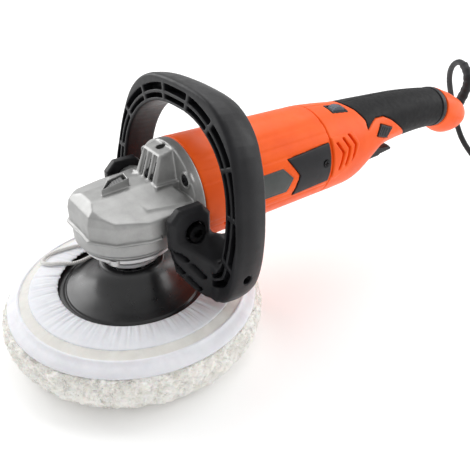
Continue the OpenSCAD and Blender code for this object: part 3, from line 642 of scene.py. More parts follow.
def head_field(x, y, z):
    side = np.abs(x)
    plan = polygon_distance(HEAD_PLAN, x, y)
    # band, chamfered shoulder and crowned roof that falls away to both sides
    shoulder = np.interp(z, [101, 113.2, 119.5, 126, 130], [0, 0, 1.6, 9.0, 14.0])
    roof = smax(z - 126.6 - 0.05 * y, z - 129.6 + 0.36 * side - 0.05 * y, 0.8)
    upper = smax(plan + shoulder, roof, 0.9)
    upper = smax(upper, 101.0 - z, 0.6)
    # ledge that runs round the front under the band
    ledge = smax(np.abs(z - 101.9) - 1.0, y - 6 + 0.5 * np.clip(z - 101.5, 0, 2), 0.6)
    ledge = smax(plan - 1.9, ledge, 0.7)
    radius = np.hypot(x, y)
    barrel = radius - np.interp(z, [84, 86, 91.5, 102], [34.2, 35.4, 38.6, 38.9])
    barrel = smax(barrel, smax(86 - z, z - 103, 0.6), 0.8)
    barrel = smax(barrel, 0.75 - np.hypot(radius - 37.6, z - 89.6), 0.5)
    v = z - AXIS_Z
    neck = np.hypot(x, v) - np.interp(y, [2, 34], [31, 38])
    neck = smax(neck, smax(86.2 - z, smax(2 - y, y - 36, 0.5), 0.8), 0.8)
    neck = smax(neck, z - 119.5, 0.8)
    ring = rod(x, y, z, "y", (0, AXIS_Z), RF - 0.2, 33.9, Y1 - 0.1, 0.7)
    hump = smax(polygon_distance(HUMP, y, z), side - (15.0 - (z - 122) * 0.175) - (y - 15) * 0.06, 1.6)
    skirt = smax(polygon_distance(grown(HUMP, 1.5), y, z), smax(side - 17.6, z - 127.2, 0.6), 0.9)
    side_boss = rod(x, y, z, "x", (BOLT_Y, BOLT_Z), 13, -43.4, 43.4, 1.0)
    side_boss = smax(side_boss, 26 - side, 0.6)
    boss = smax(polygon_distance(BOSS, x, y), smax(z - 133.3 - 0.16 * y, 120 - z, 0.5), 0.6)
    f = smin(upper, barrel, 0.9)
    f = smin(f, ledge, 0.6)
    f = smin(f, neck, 3.0)
    f = smin(f, ring, 0.9)
    f = smin(f, smin(hump, skirt, 1.0), 1.1)
    f = smin(f, side_boss, 2.0)
    f = smin(f, boss, 0.9)
    # ribs of the hump's face and the slots between them
    for slot_x in SLOT_XS:
        front = y - (15.9 + 0.33 * (z - 122.2))
        groove = smax(smax(127.5 - z, z - 145, 0.4), np.abs(front) - 1.0, 0.4)
        groove = smax(np.abs(x - slot_x) - 2.4, groove, 0.4)
        f = smax(f, -groove, 0.5)
        slot = smax(np.abs(z - 133.6) - 6.4, np.abs(front - 4) - 8, 0.4)
        slot = smax(np.abs(x - slot_x) - 1.25, slot, 0.4)
        f = smax(f, -slot, 0.3)
    f = smax(f, -smax(polygon_distance(grown(BOSS, -1.5), x, y), 127.6 + 0.16 * y - z, 0.4), 0.4)
    # screw hole and its pocket in the hump's roof
    from_screw = np.hypot(x, y - 31)
    f = smax(f, 3.1 - from_screw + np.clip(140 - z, 0, 10), 0.5)
    f = smax(f, smin(4.7 - from_screw, 0.27 * (y - 22.6) + 144.6 - z, 0.3), 0.4)
    # inside of the barrel, bolt holes and screw pockets
    f = smax(f, -smax(radius - 29, z - 96, 0.4), 0.5)
    f = smax(f, -smax(np.hypot(y - BOLT_Y, z - BOLT_Z) - 4.1, 36 - side, 0.4), 0.5)
    for cx, cz in head_screw_places():
        f = smin(f, rod(x, y, z, "y", (cx, cz), 6.0, 32.2, 36, 0.8), 0.8)
        f = smax(f, -rod(x, y, z, "y", (cx, cz), 4.4, 12, 33.6, 0.5), 0.5)
    return f


def make_head():
    grid = Grid((-44.6, -39.5, 84.4), (44.6, 43.4, 152.6), 0.62)
    head = thin_out(grid.skin("gear_head", head_field(grid.x, grid.y, grid.z)), 0.55)
    return place(head, "machine", "cast_aluminium", "gear_housing")


def make_lock_button():
    """Spindle-lock button: ribbed grey cap in a dark surround."""
    grid = Grid((-5.2, -19.6, 122.0), (5.2, 4.4, 134.6), 0.3)
    x, y, z = grid.x, grid.y, grid.z
    top = 132.3 + 0.16 * y
    cap = smax(polygon_distance(grown(BOSS, -3.7), x, y), smax(z - top, 124 - z, 0.3), 0.4)
    cap = smax(cap, 0.5 - np.hypot((y + 40) % 2.0 - 1.0, z - top), 0.3)
    button = grid.skin("spindle_lock_cap", cap)
    place(button, "spindle_lock", "black_plastic", "spindle_lock_button", material=BUTTON_GREY)
    base = smax(polygon_distance(grown(BOSS, -1.9), x, y), smax(z - top + 2.4, 122.5 - z, 0.2), 0.3)
    place(grid.skin("spindle_lock_base", base), "spindle_lock", "black_plastic")


def make_hump_slot_painted_shade():
    """Painted shade: a black sheet just under the floor of the hump's grooves, which makes its slots read
    dark; it stands in for the shade inside the slots.
    """
    outline = [(18.7, 126.6), (23.3, 140.6), (31, 140.6), (31, 126.6)]
    grid = Grid((-10.2, 17.0, 125.2), (10.2, 32.4, 142.0), 0.6)
    # black slab that paints the shade seen through the slots
    slab = smax(polygon_distance(outline, grid.y, grid.z), np.abs(grid.x) - 9.0, 0.3)
    painted_shade_sheet = grid.skin("hump_slot_painted_shade", slab)
    return place(painted_shade_sheet, "machine", "inner_black")


def make_head_screws():
    """Cross-recess screws that hold the head to the motor."""
    for number, (cx, cz) in enumerate(head_screw_places()):
        grid = Grid((cx - 4.6, 30.2, cz - 4.6), (cx + 4.6, 36.6, cz + 4.6), 0.3)
        x, y, z = grid.x - cx, grid.y, grid.z - cz
        away = np.hypot(x, z)
        f = smax(away - 3.8, smax(31.3 + 0.05 * away ** 2 - y, y - 35.8, 0.3), 0.5)
        reach = 2.5 - 0.8 * (y - 31.0)
        upright = smax(np.abs(x) - 0.55, np.abs(z) - reach, 0.2)
        level = smax(np.abs(z) - 0.55, np.abs(x) - reach, 0.2)
        cross = smin(upright, level, 0.2)
        f = smax(f, -cross, 0.25)
        screw = grid.skin("head_screw_%d" % number, f)
        place(screw, "machine", "black_bolt")
        if number == 0:
            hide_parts("head_screws")


# ---------------------------------------------------------------- D-handle
HAND_OUT = [(44, -20), (50, -33), (57, -47), (63, -53.5), (70, -55.5), (78, -52.5), (84, -45),
            (87.5, -33), (88.5, -18), (87, -2), (83, 15), (77, 37), (67.5, 58), (55, 71), (41, 78.5),
            (28, 81.5), (14, 82.6)]
HAND_IN = [(12, 64.5), (24, 62.5), (36, 58), (47.5, 51), (57, 41.5), (64.5, 29), (69, 14), (70.5, -2),
           (70, -16), (68, -29.5), (62, -27), (54, -11)]
ARM_FRONT = [(43.6, 87.5), (50, 75.5), (57, 63), (63, 56), (71, 54.4), (71, 84), (66, 87), (58, 95),
             (53, 100), (43.6, 104)]
ARM_PLAN = [(43.6, 9), (50, 9), (66, 27.5), (71, 29.4), (71, 54), (62, 53), (52, 40), (43.6, 37)]
BOSS_PLATE = [(7, 94), (10.5, 89.5), (34, 89.5), (38.5, 94), (38.5, 116), (32.5, 123.5), (14.5, 123.5),
              (7, 116)]
# ends of the slots in each arm's front face, as side and height
ARM_SLOTS = [((47.6, 85.4), (52.4, 76.8)), ((54.6, 72.8), (60.2, 62.8)),
             ((49.4, 94.0), (54.6, 87.2)), ((57.0, 83.2), (62.4, 73.6))]
LEAN = math.radians(7)
HANDLE_Y = 35.0


def capsule(a, b, u, v):
    """Distance in the plane to the stretch from a to b."""
    du, dv = b[0] - a[0], b[1] - a[1]
    t = np.clip(((u - a[0]) * du + (v - a[1]) * dv) / (du * du + dv * dv), 0, 1)
    return np.hypot(u - a[0] - t * du, v - a[1] - t * dv)


def handle_field(x, w, h):
    """Loop handle in its own leaning frame: x sideways, w its depth, h along it."""
    side = np.abs(x)
    y = HANDLE_Y + w * math.cos(LEAN) + h * math.sin(LEAN)
    z = AXIS_Z - w * math.sin(LEAN) + h * math.cos(LEAN)
    line_out = [tuple(p) for p in smooth_line(HAND_OUT, 3)] + [(-8, 83.2)]
    line_in = [tuple(p) for p in smooth_line(HAND_IN, 3)]
    band = polygon_distance(line_out + [(-8, 64.9)] + line_in, side, h)
    inner = polygon_distance([(-8, 64.9)] + line_in + [(-8, -11)], side, h)
    bulge = np.clip((w - 9) / 18, 0, 1) ** 2 * 4.6 + np.clip((5 - w) / 5, 0, 1) ** 2 * 0.9
    crown = bulge * (0.35 + 0.65 * step_up(inner, 5, 14))
    loop = smax(band + crown, smax(-w, w - 27, 1.0), 2.0)
    loop = smax(loop, -smax(side - 52, h - 5, 1.0), 1.5)
    arm = smax(polygon_distance(ARM_FRONT, side, z), polygon_distance(ARM_PLAN, side, y), 1.8)
    plate = polygon_distance(BOSS_PLATE, y, z) + np.clip(side - 49.6, 0, 3) * 0.8
    plate = smax(plate, smax(43.6 - side, side - 52, 0.9), 1.2)
    f = smin(smin(loop, arm, 3.0), plate, 1.6)
    # two rows of slots in the front face, parted by short bridges
    around = np.degrees(np.arctan2(h - 8.0, side))
    bridge = np.abs((around + 9.0) % 24.5 - 12.25) * np.radians(1) * np.hypot(side, h - 8.0)
    rows = smin(np.abs(inner - 4.2) - 1.6, smax(np.abs(inner - 10.6) - 2.4, band + crown + 2.6, 0.5), 0.3)
    pocket = smax(smax(rows, 1.7 - bridge, 0.5), smax(w - 9, -46.5 - h, 0.5), 0.5)
    pocket = smax(pocket, smin(66.5 - side, 3.0 - h, 0.3), 0.4)
    f = smax(f, -pocket, 0.5)
    front = polygon_distance(ARM_PLAN, side, y)
    for a, b in ARM_SLOTS:
        slot = smax(capsule(a, b, side, z) - 1.6, smax(-front - 6.0, y - 45, 0.5), 0.5)
        f = smax(f, -slot, 0.5)
    bolt = np.hypot(y - BOLT_Y, z - BOLT_Z)
    f = smax(f, -smin(bolt - 4.2, smax(bolt - 7.7, 46.6 - side, 0.2), 0.2), 0.5)
    return smax(f, -smax(np.hypot(y - 43, z - 78) - 3.5, 76 - side, 0.4), 0.5)


def make_handle():
    grid = Grid((-90.2, -28.6, -59.4), (90.2, 28.4, 84.6), 0.8)
    handle = grid.skin("d_handle_body", handle_field(grid.x, grid.y, grid.z))
    co = vertex_places(handle)
    w, h = co[:, 1].copy(), co[:, 2].copy()
    co[:, 1] = HANDLE_Y * MM + w * math.cos(LEAN) + h * math.sin(LEAN)
    co[:, 2] = AXIS_Z * MM - w * math.sin(LEAN) + h * math.cos(LEAN)
    move_vertices(handle, co)
    return place(thin_out(handle, 0.5), "machine", "handle_black", "d_handle")


# ---------------------------------------------------------------- housings
LABEL = [(74, 102), (118.5, 101.5), (124.8, 112), (114.8, 122), (74, 122)]
COVER = [(120.5, 127.3), (131.5, 112.5), (126, 95.5), (165.5, 97.5), (166, 129.6)]
TAIL = [
    (160, 110, 39.3, 39.3, 39.3), (168.3, 110, 39.2, 39.2, 39.2), (190, 110, 38, 37, 39.5),
    (208, 110, 36, 34.8, 39), (220, 110, 34, 34.2, 33), (232, 111, 31.5, 33, 23), (244, 113, 28.5, 30.6, 17),
    (256, 115, 26, 28.2, 18.3), (270, 117, 24, 25.5, 20.2), (290, 119, 22.2, 22.2, 22),
    (320, 117.5, 20.6, 20.4, 20.6), (350, 114, 19.6, 19.4, 19.2), (353, 113.6, 19.6, 19.4, 19.2),
]
CAP = [(346, 114.4, 20.5, 19.5, 20), (350.3, 114, 20.8, 19.8, 20.6), (360, 110, 21.1, 19.9, 24),
       (370, 106, 20.6, 20, 24), (382, 102, 19, 18, 20.3), (392, 99, 15.5, 15.5, 14.5),
       (399, 98.5, 10, 10, 8), (402, 98.5, 5, 5, 4)]
GRIP = [(207.5, 172), (207.5, 147), (215, 141.5), (219.5, 134), (218.5, 126.5), (226, 130),
        (234, 132.5), (246, 131.5), (256, 127), (268, 119), (280, 110.5), (291, 101), (297, 93),
        (298, 66), (362, 66), (362, 172)]
VENT = [(168.4, 100), (172, 97), (190, 104), (202, 121), (197, 131), (168.4, 133)]
# lock-on button's corners about its middle, as Y and Z
DIAMOND = [(-13, 0.5), (-4.8, 8.4), (13, 1.6), (4, -5.6)]
DIAMOND_AT = (243.3, 118.7)
CREASES = (-17.0, -11.5, 19.0, 26.0, 33.0)     # heights above the axis


def chevron(y, z):
    """Outline of one V-shaped vent slot."""
    return [(y, z + 9), (y + 2.6, z + 9), (y + 9, z), (y + 4, z - 14), (y + 1.4, z - 14), (y + 6, z)]


def loft_field(stations, x, y, z):
    """Oval tube along Y through stations of centre height, half width, rise and drop."""
    s = smooth_line(stations, 6)
    middle, half, rise, drop = (np.interp(y, s[:, 0], s[:, i]) for i in range(1, 5))
    v = z - middle
    tall = np.where(v > 0, rise, drop)
    return (np.sqrt((x / half) ** 2 + (v / tall) ** 2 + 1e-9) - 1) * np.minimum(half, tall)


def make_motor_housing():
    """Orange motor sleeve with shallow creases and recesses for the labels and brush covers."""
    grid = Grid((-42.2, 41.0, 67.8), (42.2, 169.4, 152.2), 0.78)
    x, y, z = grid.x, grid.y, grid.z
    v = z - AXIS_Z
    outer = np.hypot(x, v) - np.interp(y, [Y1, Y2], [RF, RR])
    # shallow grooves along the sleeve
    side = np.abs(x)
    crease = 0
    for height in CREASES:
        gap = (v - height) * np.cos(np.arcsin(height / RF))
        crease = crease + 0.42 * np.exp(-(gap / 0.75) ** 2)
    f = smax(outer + crease * (side > 4), smax(Y1 + 0.1 - y, y - Y2, 0.8), 0.9)
    for shape, depth in ((LABEL, 0.6), (COVER, 1.2)):
        flat = polygon_distance(shape, y, z)
        f = smax(f, -smax(flat - 0.35, -outer - depth, 0.3) - (side < 15) * 50, 0.25)
    for turn in range(-3, 4):
        a = math.radians(9 * turn)
        along = x * math.cos(a) + v * math.sin(a)
        across = -x * math.sin(a) + v * math.cos(a)
        for way in (1, -1):
            vent = smax(np.abs(across) - 1.0, smax(np.abs(y - 63.5) - 3.5, 37 - along * way, 0.3), 0.4)
            f = smax(f, -vent, 0.3)
    shell = thin_out(grid.skin("motor_sleeve", f), 0.4)
    return place(shell, "machine", "orange_plastic", "motor_housing")


def make_side_plates():
    """Label plates and brush covers that follow the sleeve, on both sides."""
    for sign, word in ((1, "right"), (-1, "left")):
        low, high = sorted((sign * 28.0, sign * 42.6))
        grid = Grid((low, 72.0, 93.0), (high, 168.4, 132.0), 0.5)
        x, y, z = grid.x, grid.y, grid.z
        outer = np.hypot(x, z - AXIS_Z) - np.interp(y, [Y1, Y2], [RF, RR])
        label = smax(polygon_distance(LABEL, y, z), smax(outer - 0.10, -outer - 2, 0.3), 0.35)
        rim = np.abs(polygon_distance(LABEL, y, z) + 1.7) - 0.3
        label = smax(label, -smax(rim, -outer - 0.15, 0.2), 0.2)
        plate = place(grid.skin("label_" + word, label), "machine", "label_grey")
        cover = smax(polygon_distance(COVER, y, z), smax(outer - 0.65, -outer - 2.4, 0.3), 0.7)
        hole = np.hypot(y - 160, z - 115)
        cover = smax(cover, -smax(hole - 3.1, -outer - 0.9, 0.2), 0.4)
        lid = grid.skin("brush_cover_" + word, cover)
        place(lid, "machine", "black_plastic")
        if sign > 0:
            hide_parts("label_plates")
            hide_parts("brush_covers")


def rear_field(x, y, z):
    """Both halves of the rear housing, lowered where the soft grip lies on them."""
    body = loft_field(TAIL, x, y, z)
    side = np.abs(x)
    grip = polygon_distance(GRIP, y, z)
    f = smin(smax(body, -grip + 0.25, 0.5), body + 2.6, 0.3)
    vent = polygon_distance(VENT, y, z)
    f = smin(f, smax(smax(body - 1.3, vent, 0.3), 20 - side, 0.3), 0.2)
    for start_y, start_z in ((173, 119), (181, 121), (189, 122)):
        bar = smax(polygon_distance(chevron(start_y, start_z), y, z), -body - 3.0, 0.3)
        f = smax(f, -smax(bar, 18 - side, 0.3), 0.35)
    # seat of the lock-on button, right side only
    seat = polygon_distance(grown([(DIAMOND_AT[0] + a, DIAMOND_AT[1] + b) for a, b in DIAMOND], 0.5), y, z)
    f = smax(f, -smax(seat, 22 - x, 0.3), 0.4)
    # window of the speed dial, slot of the trigger and the front and rear faces
    window = block(x, y, z, (2.4, 187.4, 136), (14.8, 206.6, 160), 0.5)
    f = smax(f, -window, 0.5)
    slot = smax(side - 10.2, smax(np.abs(y - 261.5) - 23.5, z - 98, 0.4), 0.6)
    f = smax(f, -slot, 0.6)
    f = smax(f, smax(168.4 - y, y - 350.2, 0.4), 0.7)
    # parting line of the two halves, and screw holes on the left
    f = smax(f, -smax(np.abs(x) - 0.35, -body - 0.8, 0.2), 0.3)
    for hole_y, hole_z in ((180, 82), (228, 86), (312, 104)):
        f = smax(f, -smax(np.hypot(y - hole_y, z - hole_z) - 3.6, x + 8, 0.3), 0.5)
    return f


def make_rear():
    grid = Grid((-42.6, 166.8, 67.0), (42.6, 352.4, 152.4), 0.8)
    x = grid.x
    field = rear_field(x, grid.y, grid.z)
    for name, half in (("rear_housing_left", x - 0.02), ("rear_housing_right", 0.02 - x)):
        shell = grid.skin(name + "_body", smax(field, half, 0.2))
        place(thin_out(shell, 0.4), "machine", "orange_plastic", name)
    body = loft_field(TAIL, x, grid.y, grid.z)
    edge = polygon_distance(GRIP, grid.y, grid.z)
    grip = smax(smax(body, edge + 0.25, 0.9), smax(grid.y - 342, -body - 2.8, 0.3), 0.6)
    seam = smax(np.abs(x) - 0.3, -body - 0.5, 0.2)
    sleeve = thin_out(grid.skin("soft_grip_skin", smax(grip, -seam, 0.3)), 0.4)
    place(sleeve, "machine", "grip_rubber", "soft_grip")
    rim = smax(smax(body - 0.7, -body - 2.8, 0.3), np.abs(grid.y - 345.6) - 3.2, 0.8)
    ring = thin_out(grid.skin("grip_rim_ring", rim), 0.4)
    place(ring, "machine", "black_plastic", "grip_rim")


def make_cap():
    """End cap with a slanted collar that the cord's boot comes out of."""
    grid = Grid((-22.6, 348.6, 80.4), (22.6, 403.6, 135.6), 0.6)
    x, y, z = grid.x, grid.y, grid.z
    f = smax(loft_field(CAP, x, y, z), smax(350.3 - y, y - 402.2, 0.6), 1.0)
    along = np.array([0, math.sin(math.radians(52)), math.cos(math.radians(52))])
    u, v, w = x, y - 382, z - 92.4
    axial = v * along[1] + w * along[2]
    away = np.sqrt(np.maximum(u ** 2 + v ** 2 + w ** 2 - axial ** 2, 0))
    f = smin(f, smax(away - 8.6, smax(axial - 13.5, -axial, 0.5), 0.8), 2.0)
    f = smax(f, -smax(away - 6.6, -axial, 0.3), 0.6)
    f = smax(f, -smax(np.abs(x) - 0.3, -loft_field(CAP, x, y, z) - 0.6, 0.2), 0.3)
    cap = thin_out(grid.skin("end_cap_shell", f), 0.45)
    return place(cap, "machine", "orange_plastic", "end_cap")


# ---------------------------------------------------------------- controls
def make_trigger():
    """Trigger paddle with finger ribs."""
    grid = Grid((-10.6, 239.4, 80.4), (10.6, 285.6, 99.0), 0.45)
    x, y, z = grid.x, grid.y, grid.z
    outline = [(241, 87), (243, 83), (247, 81.6), (276, 83), (283, 85), (284, 88), (281, 90.6), (266, 92),
               (258, 96), (252, 97.6), (245, 96.4), (241.4, 92)]
    paddle = smax(polygon_distance(outline, y, z) + 0.012 * x ** 2, np.abs(x) - 9.4, 1.6)
    for rib_y in (268, 271, 274, 277, 280):
        rib = 0.5 - np.hypot(y - rib_y, z - 83.2 - 0.1 * (y - 270))
        paddle = smax(paddle, rib + (np.abs(x) > 6.5) * 2, 0.4)
    paddle = smax(paddle, 2.0 - np.hypot(y - 247.5, z - 92), 0.3)
    skin = thin_out(grid.skin("trigger_skin", paddle), 0.6)
    place(skin, "trigger", "black_plastic", "trigger_paddle")


def make_lock_on():
    """Lock-on button, whose ribbed face follows the body."""
    grid = Grid((16.4, 228.4, 111.4), (34.0, 258.4, 128.8), 0.35)
    x, y, z = grid.x, grid.y, grid.z
    shape = [(DIAMOND_AT[0] + a, DIAMOND_AT[1] + b) for a, b in DIAMOND]
    top = loft_field(TAIL, x, y, z) - 1.1
    outline = polygon_distance(shape, y, z)
    button = smax(outline, smax(24.6 - x, top, 0.4), 0.5)
    along = (y - DIAMOND_AT[0]) * 0.93 + (z - DIAMOND_AT[1]) * 0.36
    groove = np.hypot((along + 40) % 2.4 - 1.2, top) - 0.5
    button = smax(button, -smax(groove, outline + 1.2, 0.3), 0.3)
    stem = block(x, y, z, (17, 238, 115), (25, 248, 121), 0.4)
    cap = grid.skin("lock_on_cap", smin(button, stem, 0.4))
    place(cap, "lock_on", "black_plastic", "lock_button")


def make_dial_window():
    """Dark frame round the speed dial's window."""
    grid = Grid((0.6, 185.4, 138.0), (16.6, 208.6, 150.0), 0.4)
    x, y, z = grid.x, grid.y, grid.z
    body = loft_field(TAIL, x, y, z)
    frame_out = block(x, y, z, (2.5, 187.5, 130), (14.7, 206.5, 160), 0.6)
    frame_in = block(x, y, z, (3.9, 189.3, 120), (13.3, 204.7, 170), 0.6)
    bezel = smax(smax(frame_out, -frame_in, 0.3), smax(body - 0.25, -body - 5, 0.2), 0.3)
    rim = grid.skin("dial_window_frame", bezel)
    place(rim, "machine", "black_plastic")


def make_dial():
    """Knurled wheel of the speed dial."""
    grid = Grid((3.4, 187.0, 128.8), (13.0, 207.0, 148.8), 0.32)
    x, y, z = grid.x, grid.y - 197, grid.z - 138.8
    away, angle = np.hypot(y, z), np.arctan2(z, y)
    wheel = smax(away - 8.95 + 0.35 * (0.5 + 0.5 * np.cos(24 * angle)), smax(4.1 - x, x - 12.3, 0.4), 0.5)
    wheel = smax(wheel, 1.65 - away, 0.3)
    wheel = smax(wheel, 0.4 - np.hypot(away - 8.9, np.abs(x - 8.2) - 1.6), 0.3)
    wheel = thin_out(grid.skin("dial_wheel", wheel), 0.7)
    place(wheel, "dial", "inner_black", "speed_dial", material=DIAL_GREY)


BUTTON_GREY = moulded_plastic("button_grey", (0.10, 0.10, 0.10), (0.16, 0.16, 0.16), 0.42, 0.5, 0.04)
DIAL_GREY = moulded_plastic("dial_grey", (0.07, 0.085, 0.11), (0.12, 0.14, 0.17), 0.4, 0.5, 0.04)
make_head()
make_hump_slot_painted_shade()
make_lock_button()
make_head_screws()
make_handle()
make_motor_housing()
make_side_plates()
make_rear()
make_cap()
make_trigger()
make_lock_on()
make_dial_window()
make_dial()


# ---------------------------------------------------------------- polishing pad
def cloth_height(r):
    """Top of the bonnet's cloth above the working face, mm, at a radius."""
    radii = [56, 57, 60, 66, 72, 77.5, 79, 84, 85.5, 88, 92, 95]
    heights = [45.8, 46.9, 47.3, 47.1, 46.4, 45.4, 44.2, 42.6, 42.3, 40.6, 38.4, 35.6]
    return np.interp(r, radii, heights)


def cloth_ring(name, r0, r1, steps, fullness, material, thickness, seed):
    """Ring of cloth from radius r0 to r1 with radial gathers, which die out away from its inner edge."""
    rng = np.random.default_rng(seed)
    turns = 1080
    angle = np.linspace(0, 2 * math.pi, turns, endpoint=False)
    folds = np.zeros(turns)
    for count, weight in ((37, 0.5), (61, 0.8), (97, 0.6), (143, 0.3)):
        phase, drift = rng.uniform(0, 6.28), rng.integers(2, 6)
        folds += weight * np.abs(np.sin(count / 2 * angle + phase + 0.8 * np.sin(drift * angle)))
    folds = (folds - folds.mean()) / folds.std()
    patch = 0.65 + 0.35 * np.sin(3 * angle + 1.0) * np.sin(5 * angle)
    verts = []
    for i, r in enumerate(np.linspace(r0, r1, steps)):
        share = i / (steps - 1)
        lift = fullness * (0.22 + 0.78 * (1 - share) ** 1.6) * folds * patch
        if i == 0:
            lift = lift * 0.25
        edge = r + (0.06 * folds if i < 2 else 0)
        height = cloth_height(r) + lift
        verts.append(np.stack([edge * np.cos(angle), edge * np.sin(angle), height], 1))
    quads = []
    for i in range(steps - 1):
        a = np.arange(turns) + i * turns
        b = np.roll(np.arange(turns), -1) + i * turns
        quads.append(np.stack([a, a + turns, b + turns, b], 1))
    ring = quads_object(name, np.concatenate(verts), np.concatenate(quads))
    mod = ring.modifiers.new("cloth", "SOLIDIFY")
    mod.thickness = thickness * MM
    mod.offset = -1
    settle(ring)
    ring.data.shade_smooth()
    return place(ring, "spindle_group", "cloth", material=material)


def binding_profile():
    """Piping with a hem that runs down to the pile, mm."""
    pipe = [(86.2 + 1.25 * math.cos(a), 41.9 + 1.25 * math.sin(a)) for a in np.linspace(math.pi, 0.3, 10)]
    hem = [(88.6, 40.7), (90.2, 39.9), (92.0, 38.8), (93.6, 37.5), (94.6, 36.2), (94.9, 35.2)]
    under = [(94.0, 35.2), (91.5, 37.6), (88.0, 39.4), (85.0, 40.6)]
    return pipe + hem + under


def uneven_lathe(name, profile, wobble, turns=720, seed=3):
    """Lathe whose radius and height waver a little, as sewn cloth does."""
    obj = lathe(name, profile, turns)
    rng = np.random.default_rng(seed)
    co = vertex_places(obj)
    angle = np.arctan2(co[:, 1], co[:, 0])
    wave = sum(rng.uniform(0.3, 1) * np.sin(k * angle + rng.uniform(0, 6.28)) / k ** 0.5
               for k in (3, 7, 13, 29, 47, 83, 131))
    co[:, :2] *= (1 + wobble * MM * 0.4 * wave / np.hypot(co[:, 0], co[:, 1]))[:, None]
    co[:, 2] += wobble * MM * 0.35 * wave
    move_vertices(obj, co)
    return obj


def wool_heights(points):
    """Pile displacement in mm for points in mm: clumps, locks and curls."""
    out = np.empty(len(points))
    for i, p in enumerate(points):
        v = Vector(p)
        clump = noise.noise(v / 11.0)
        lock = noise.noise(v / 4.2 + Vector((7, 3, 1)))
        curl = abs(noise.noise(v / 1.9 + Vector((1, 9, 4))))
        out[i] = 1.5 * clump + 1.5 * lock - 2.0 * curl + 0.2
    return out


PILE_EDGE = [(76, 0.2), (82, 0.5), (88, 2.6), (93.2, 6.8), (96.8, 12.6), (99.0, 19), (99.5, 25), (98.2, 30),
             (95.4, 33.6), (91.4, 35.4), (87.0, 35.2)]


def make_wool():
    """Wool bonnet: a thick pile ring with curls on every face, flat where it rests."""
    profile = [(0, 0.2), (20, 0.2), (40, 0.2), (60, 0.2), (72, 0.2)]
    arc = smooth_line(PILE_EDGE, 11)
    inner = [(86.6, 30), (86.6, 20), (86.6, 12), (60, 12), (30, 12), (0, 12)]
    wool = lathe("wool_bonnet_pile", profile + [tuple(p) for p in arc] + inner, 620)
    co = vertex_places(wool) / MM
    normal = np.zeros(co.size)
    wool.data.vertices.foreach_get("normal", normal)
    normal = normal.reshape(-1, 3)
    radius = np.hypot(co[:, 0], co[:, 1])
    # no curls on the flat middle, nor on the wall that faces the foam
    outside = (radius > 87) | (co[:, 2] < 8)
    weight = step_up(radius, 77, 88) * step_up(co[:, 2] + outside * 40, 12.5, 20)
    picked = np.nonzero(weight > 0)[0]
    push = np.zeros(len(co))
    push[picked] = wool_heights(co[picked]) * weight[picked]
    co += normal * push[:, None]
    co[:, 2] = np.maximum(co[:, 2], 0.15)
    move_vertices(wool, co * MM)
    return place(wool, "spindle_group", "wool", "wool_bonnet")


def make_tufts(count=9000):
    """Loose curled fibres that stand out of the pile all round the bonnet's side."""
    rng = np.random.default_rng(11)
    around = rng.uniform(0, 2 * math.pi, count)
    arc = smooth_line(PILE_EDGE, 20)
    spot = rng.integers(12, len(arc) - 8, count)
    along = arc[spot + 1] - arc[spot - 1]
    normal = np.stack([along[:, 1], -along[:, 0]], 1) / np.linalg.norm(along, axis=1, keepdims=True)
    radius, height = arc[spot].T
    verts, faces = [], []
    for i in range(count):
        out = Vector((math.cos(around[i]) * normal[i, 0], math.sin(around[i]) * normal[i, 0], normal[i, 1]))
        base = Vector((radius[i] * math.cos(around[i]), radius[i] * math.sin(around[i]), height[i]))
        lean = Vector(rng.normal(0, 1, 3))
        lean = (lean - out * lean.dot(out)).normalized()
        third = out.cross(lean)
        long = rng.uniform(1.4, 2.8)
        thick = rng.uniform(0.20, 0.38)
        start = len(verts)
        for j in range(4):
            s = j / 3
            mid = base + out * (long * (s - 0.45 * s * s) - 0.6) + lean * (long * 0.75 * s * s)
            mid += third * (long * 0.25 * math.sin(s * 3.1))
            mid.z = max(mid.z, 0.4)
            size = thick * (1 - 0.75 * s)
            for k in range(3):
                a = 2 * math.pi * k / 3
                verts.append(mid + (lean * math.cos(a) + third * math.sin(a)) * size)
        for j in range(3):
            for k in range(3):
                a, b = start + 3 * j + k, start + 3 * j + (k + 1) % 3
                faces.append((a, b, b + 3, a + 3))
        faces.append((start + 11, start + 10, start + 9))
        faces.append((start, start + 1, start + 2))
    tufts = mesh_object("wool_tufts", verts, faces)
    return place(tufts, "spindle_group", "wool")


# loose end of the drawstring where it lies on the cloth, m
DRAWSTRING = [
    (-0.057, 0.017, 0.0489), (-0.058, 0.002, 0.0489), (-0.062, -0.014, 0.0488), (-0.066, -0.030, 0.0480),
    (-0.067, -0.042, 0.0466), (-0.061, -0.050, 0.0466), (-0.053, -0.048, 0.0481), (-0.047, -0.040, 0.0489),
    (-0.043, -0.031, 0.0476), (-0.044, -0.020, 0.0467), (-0.048, -0.006, 0.0467), (-0.053, 0.008, 0.0478),
    (-0.059, 0.020, 0.0495),
]
STRING_D = 3.0 * MM


def make_drawstring():
    line = smooth_line(DRAWSTRING, 6)
    string = round_curve("drawstring_loop", line, STRING_D, 4)
    place(string, "spindle_group", "string", "drawstring")
    knot_line = []
    for t in np.linspace(0, 2 * math.pi, 60, endpoint=True):
        knot_line.append((-0.0585 + 0.0016 * (math.sin(t) + 2 * math.sin(2 * t)),
                          0.0195 + 0.0016 * (math.cos(t) - 2 * math.cos(2 * t)),
                          0.0500 + 0.0012 * math.sin(3 * t)))
    knot = tube_along("drawstring_knot", knot_line, [1.35 * MM] * len(knot_line), 10)
    place(knot, "spindle_group", "string")


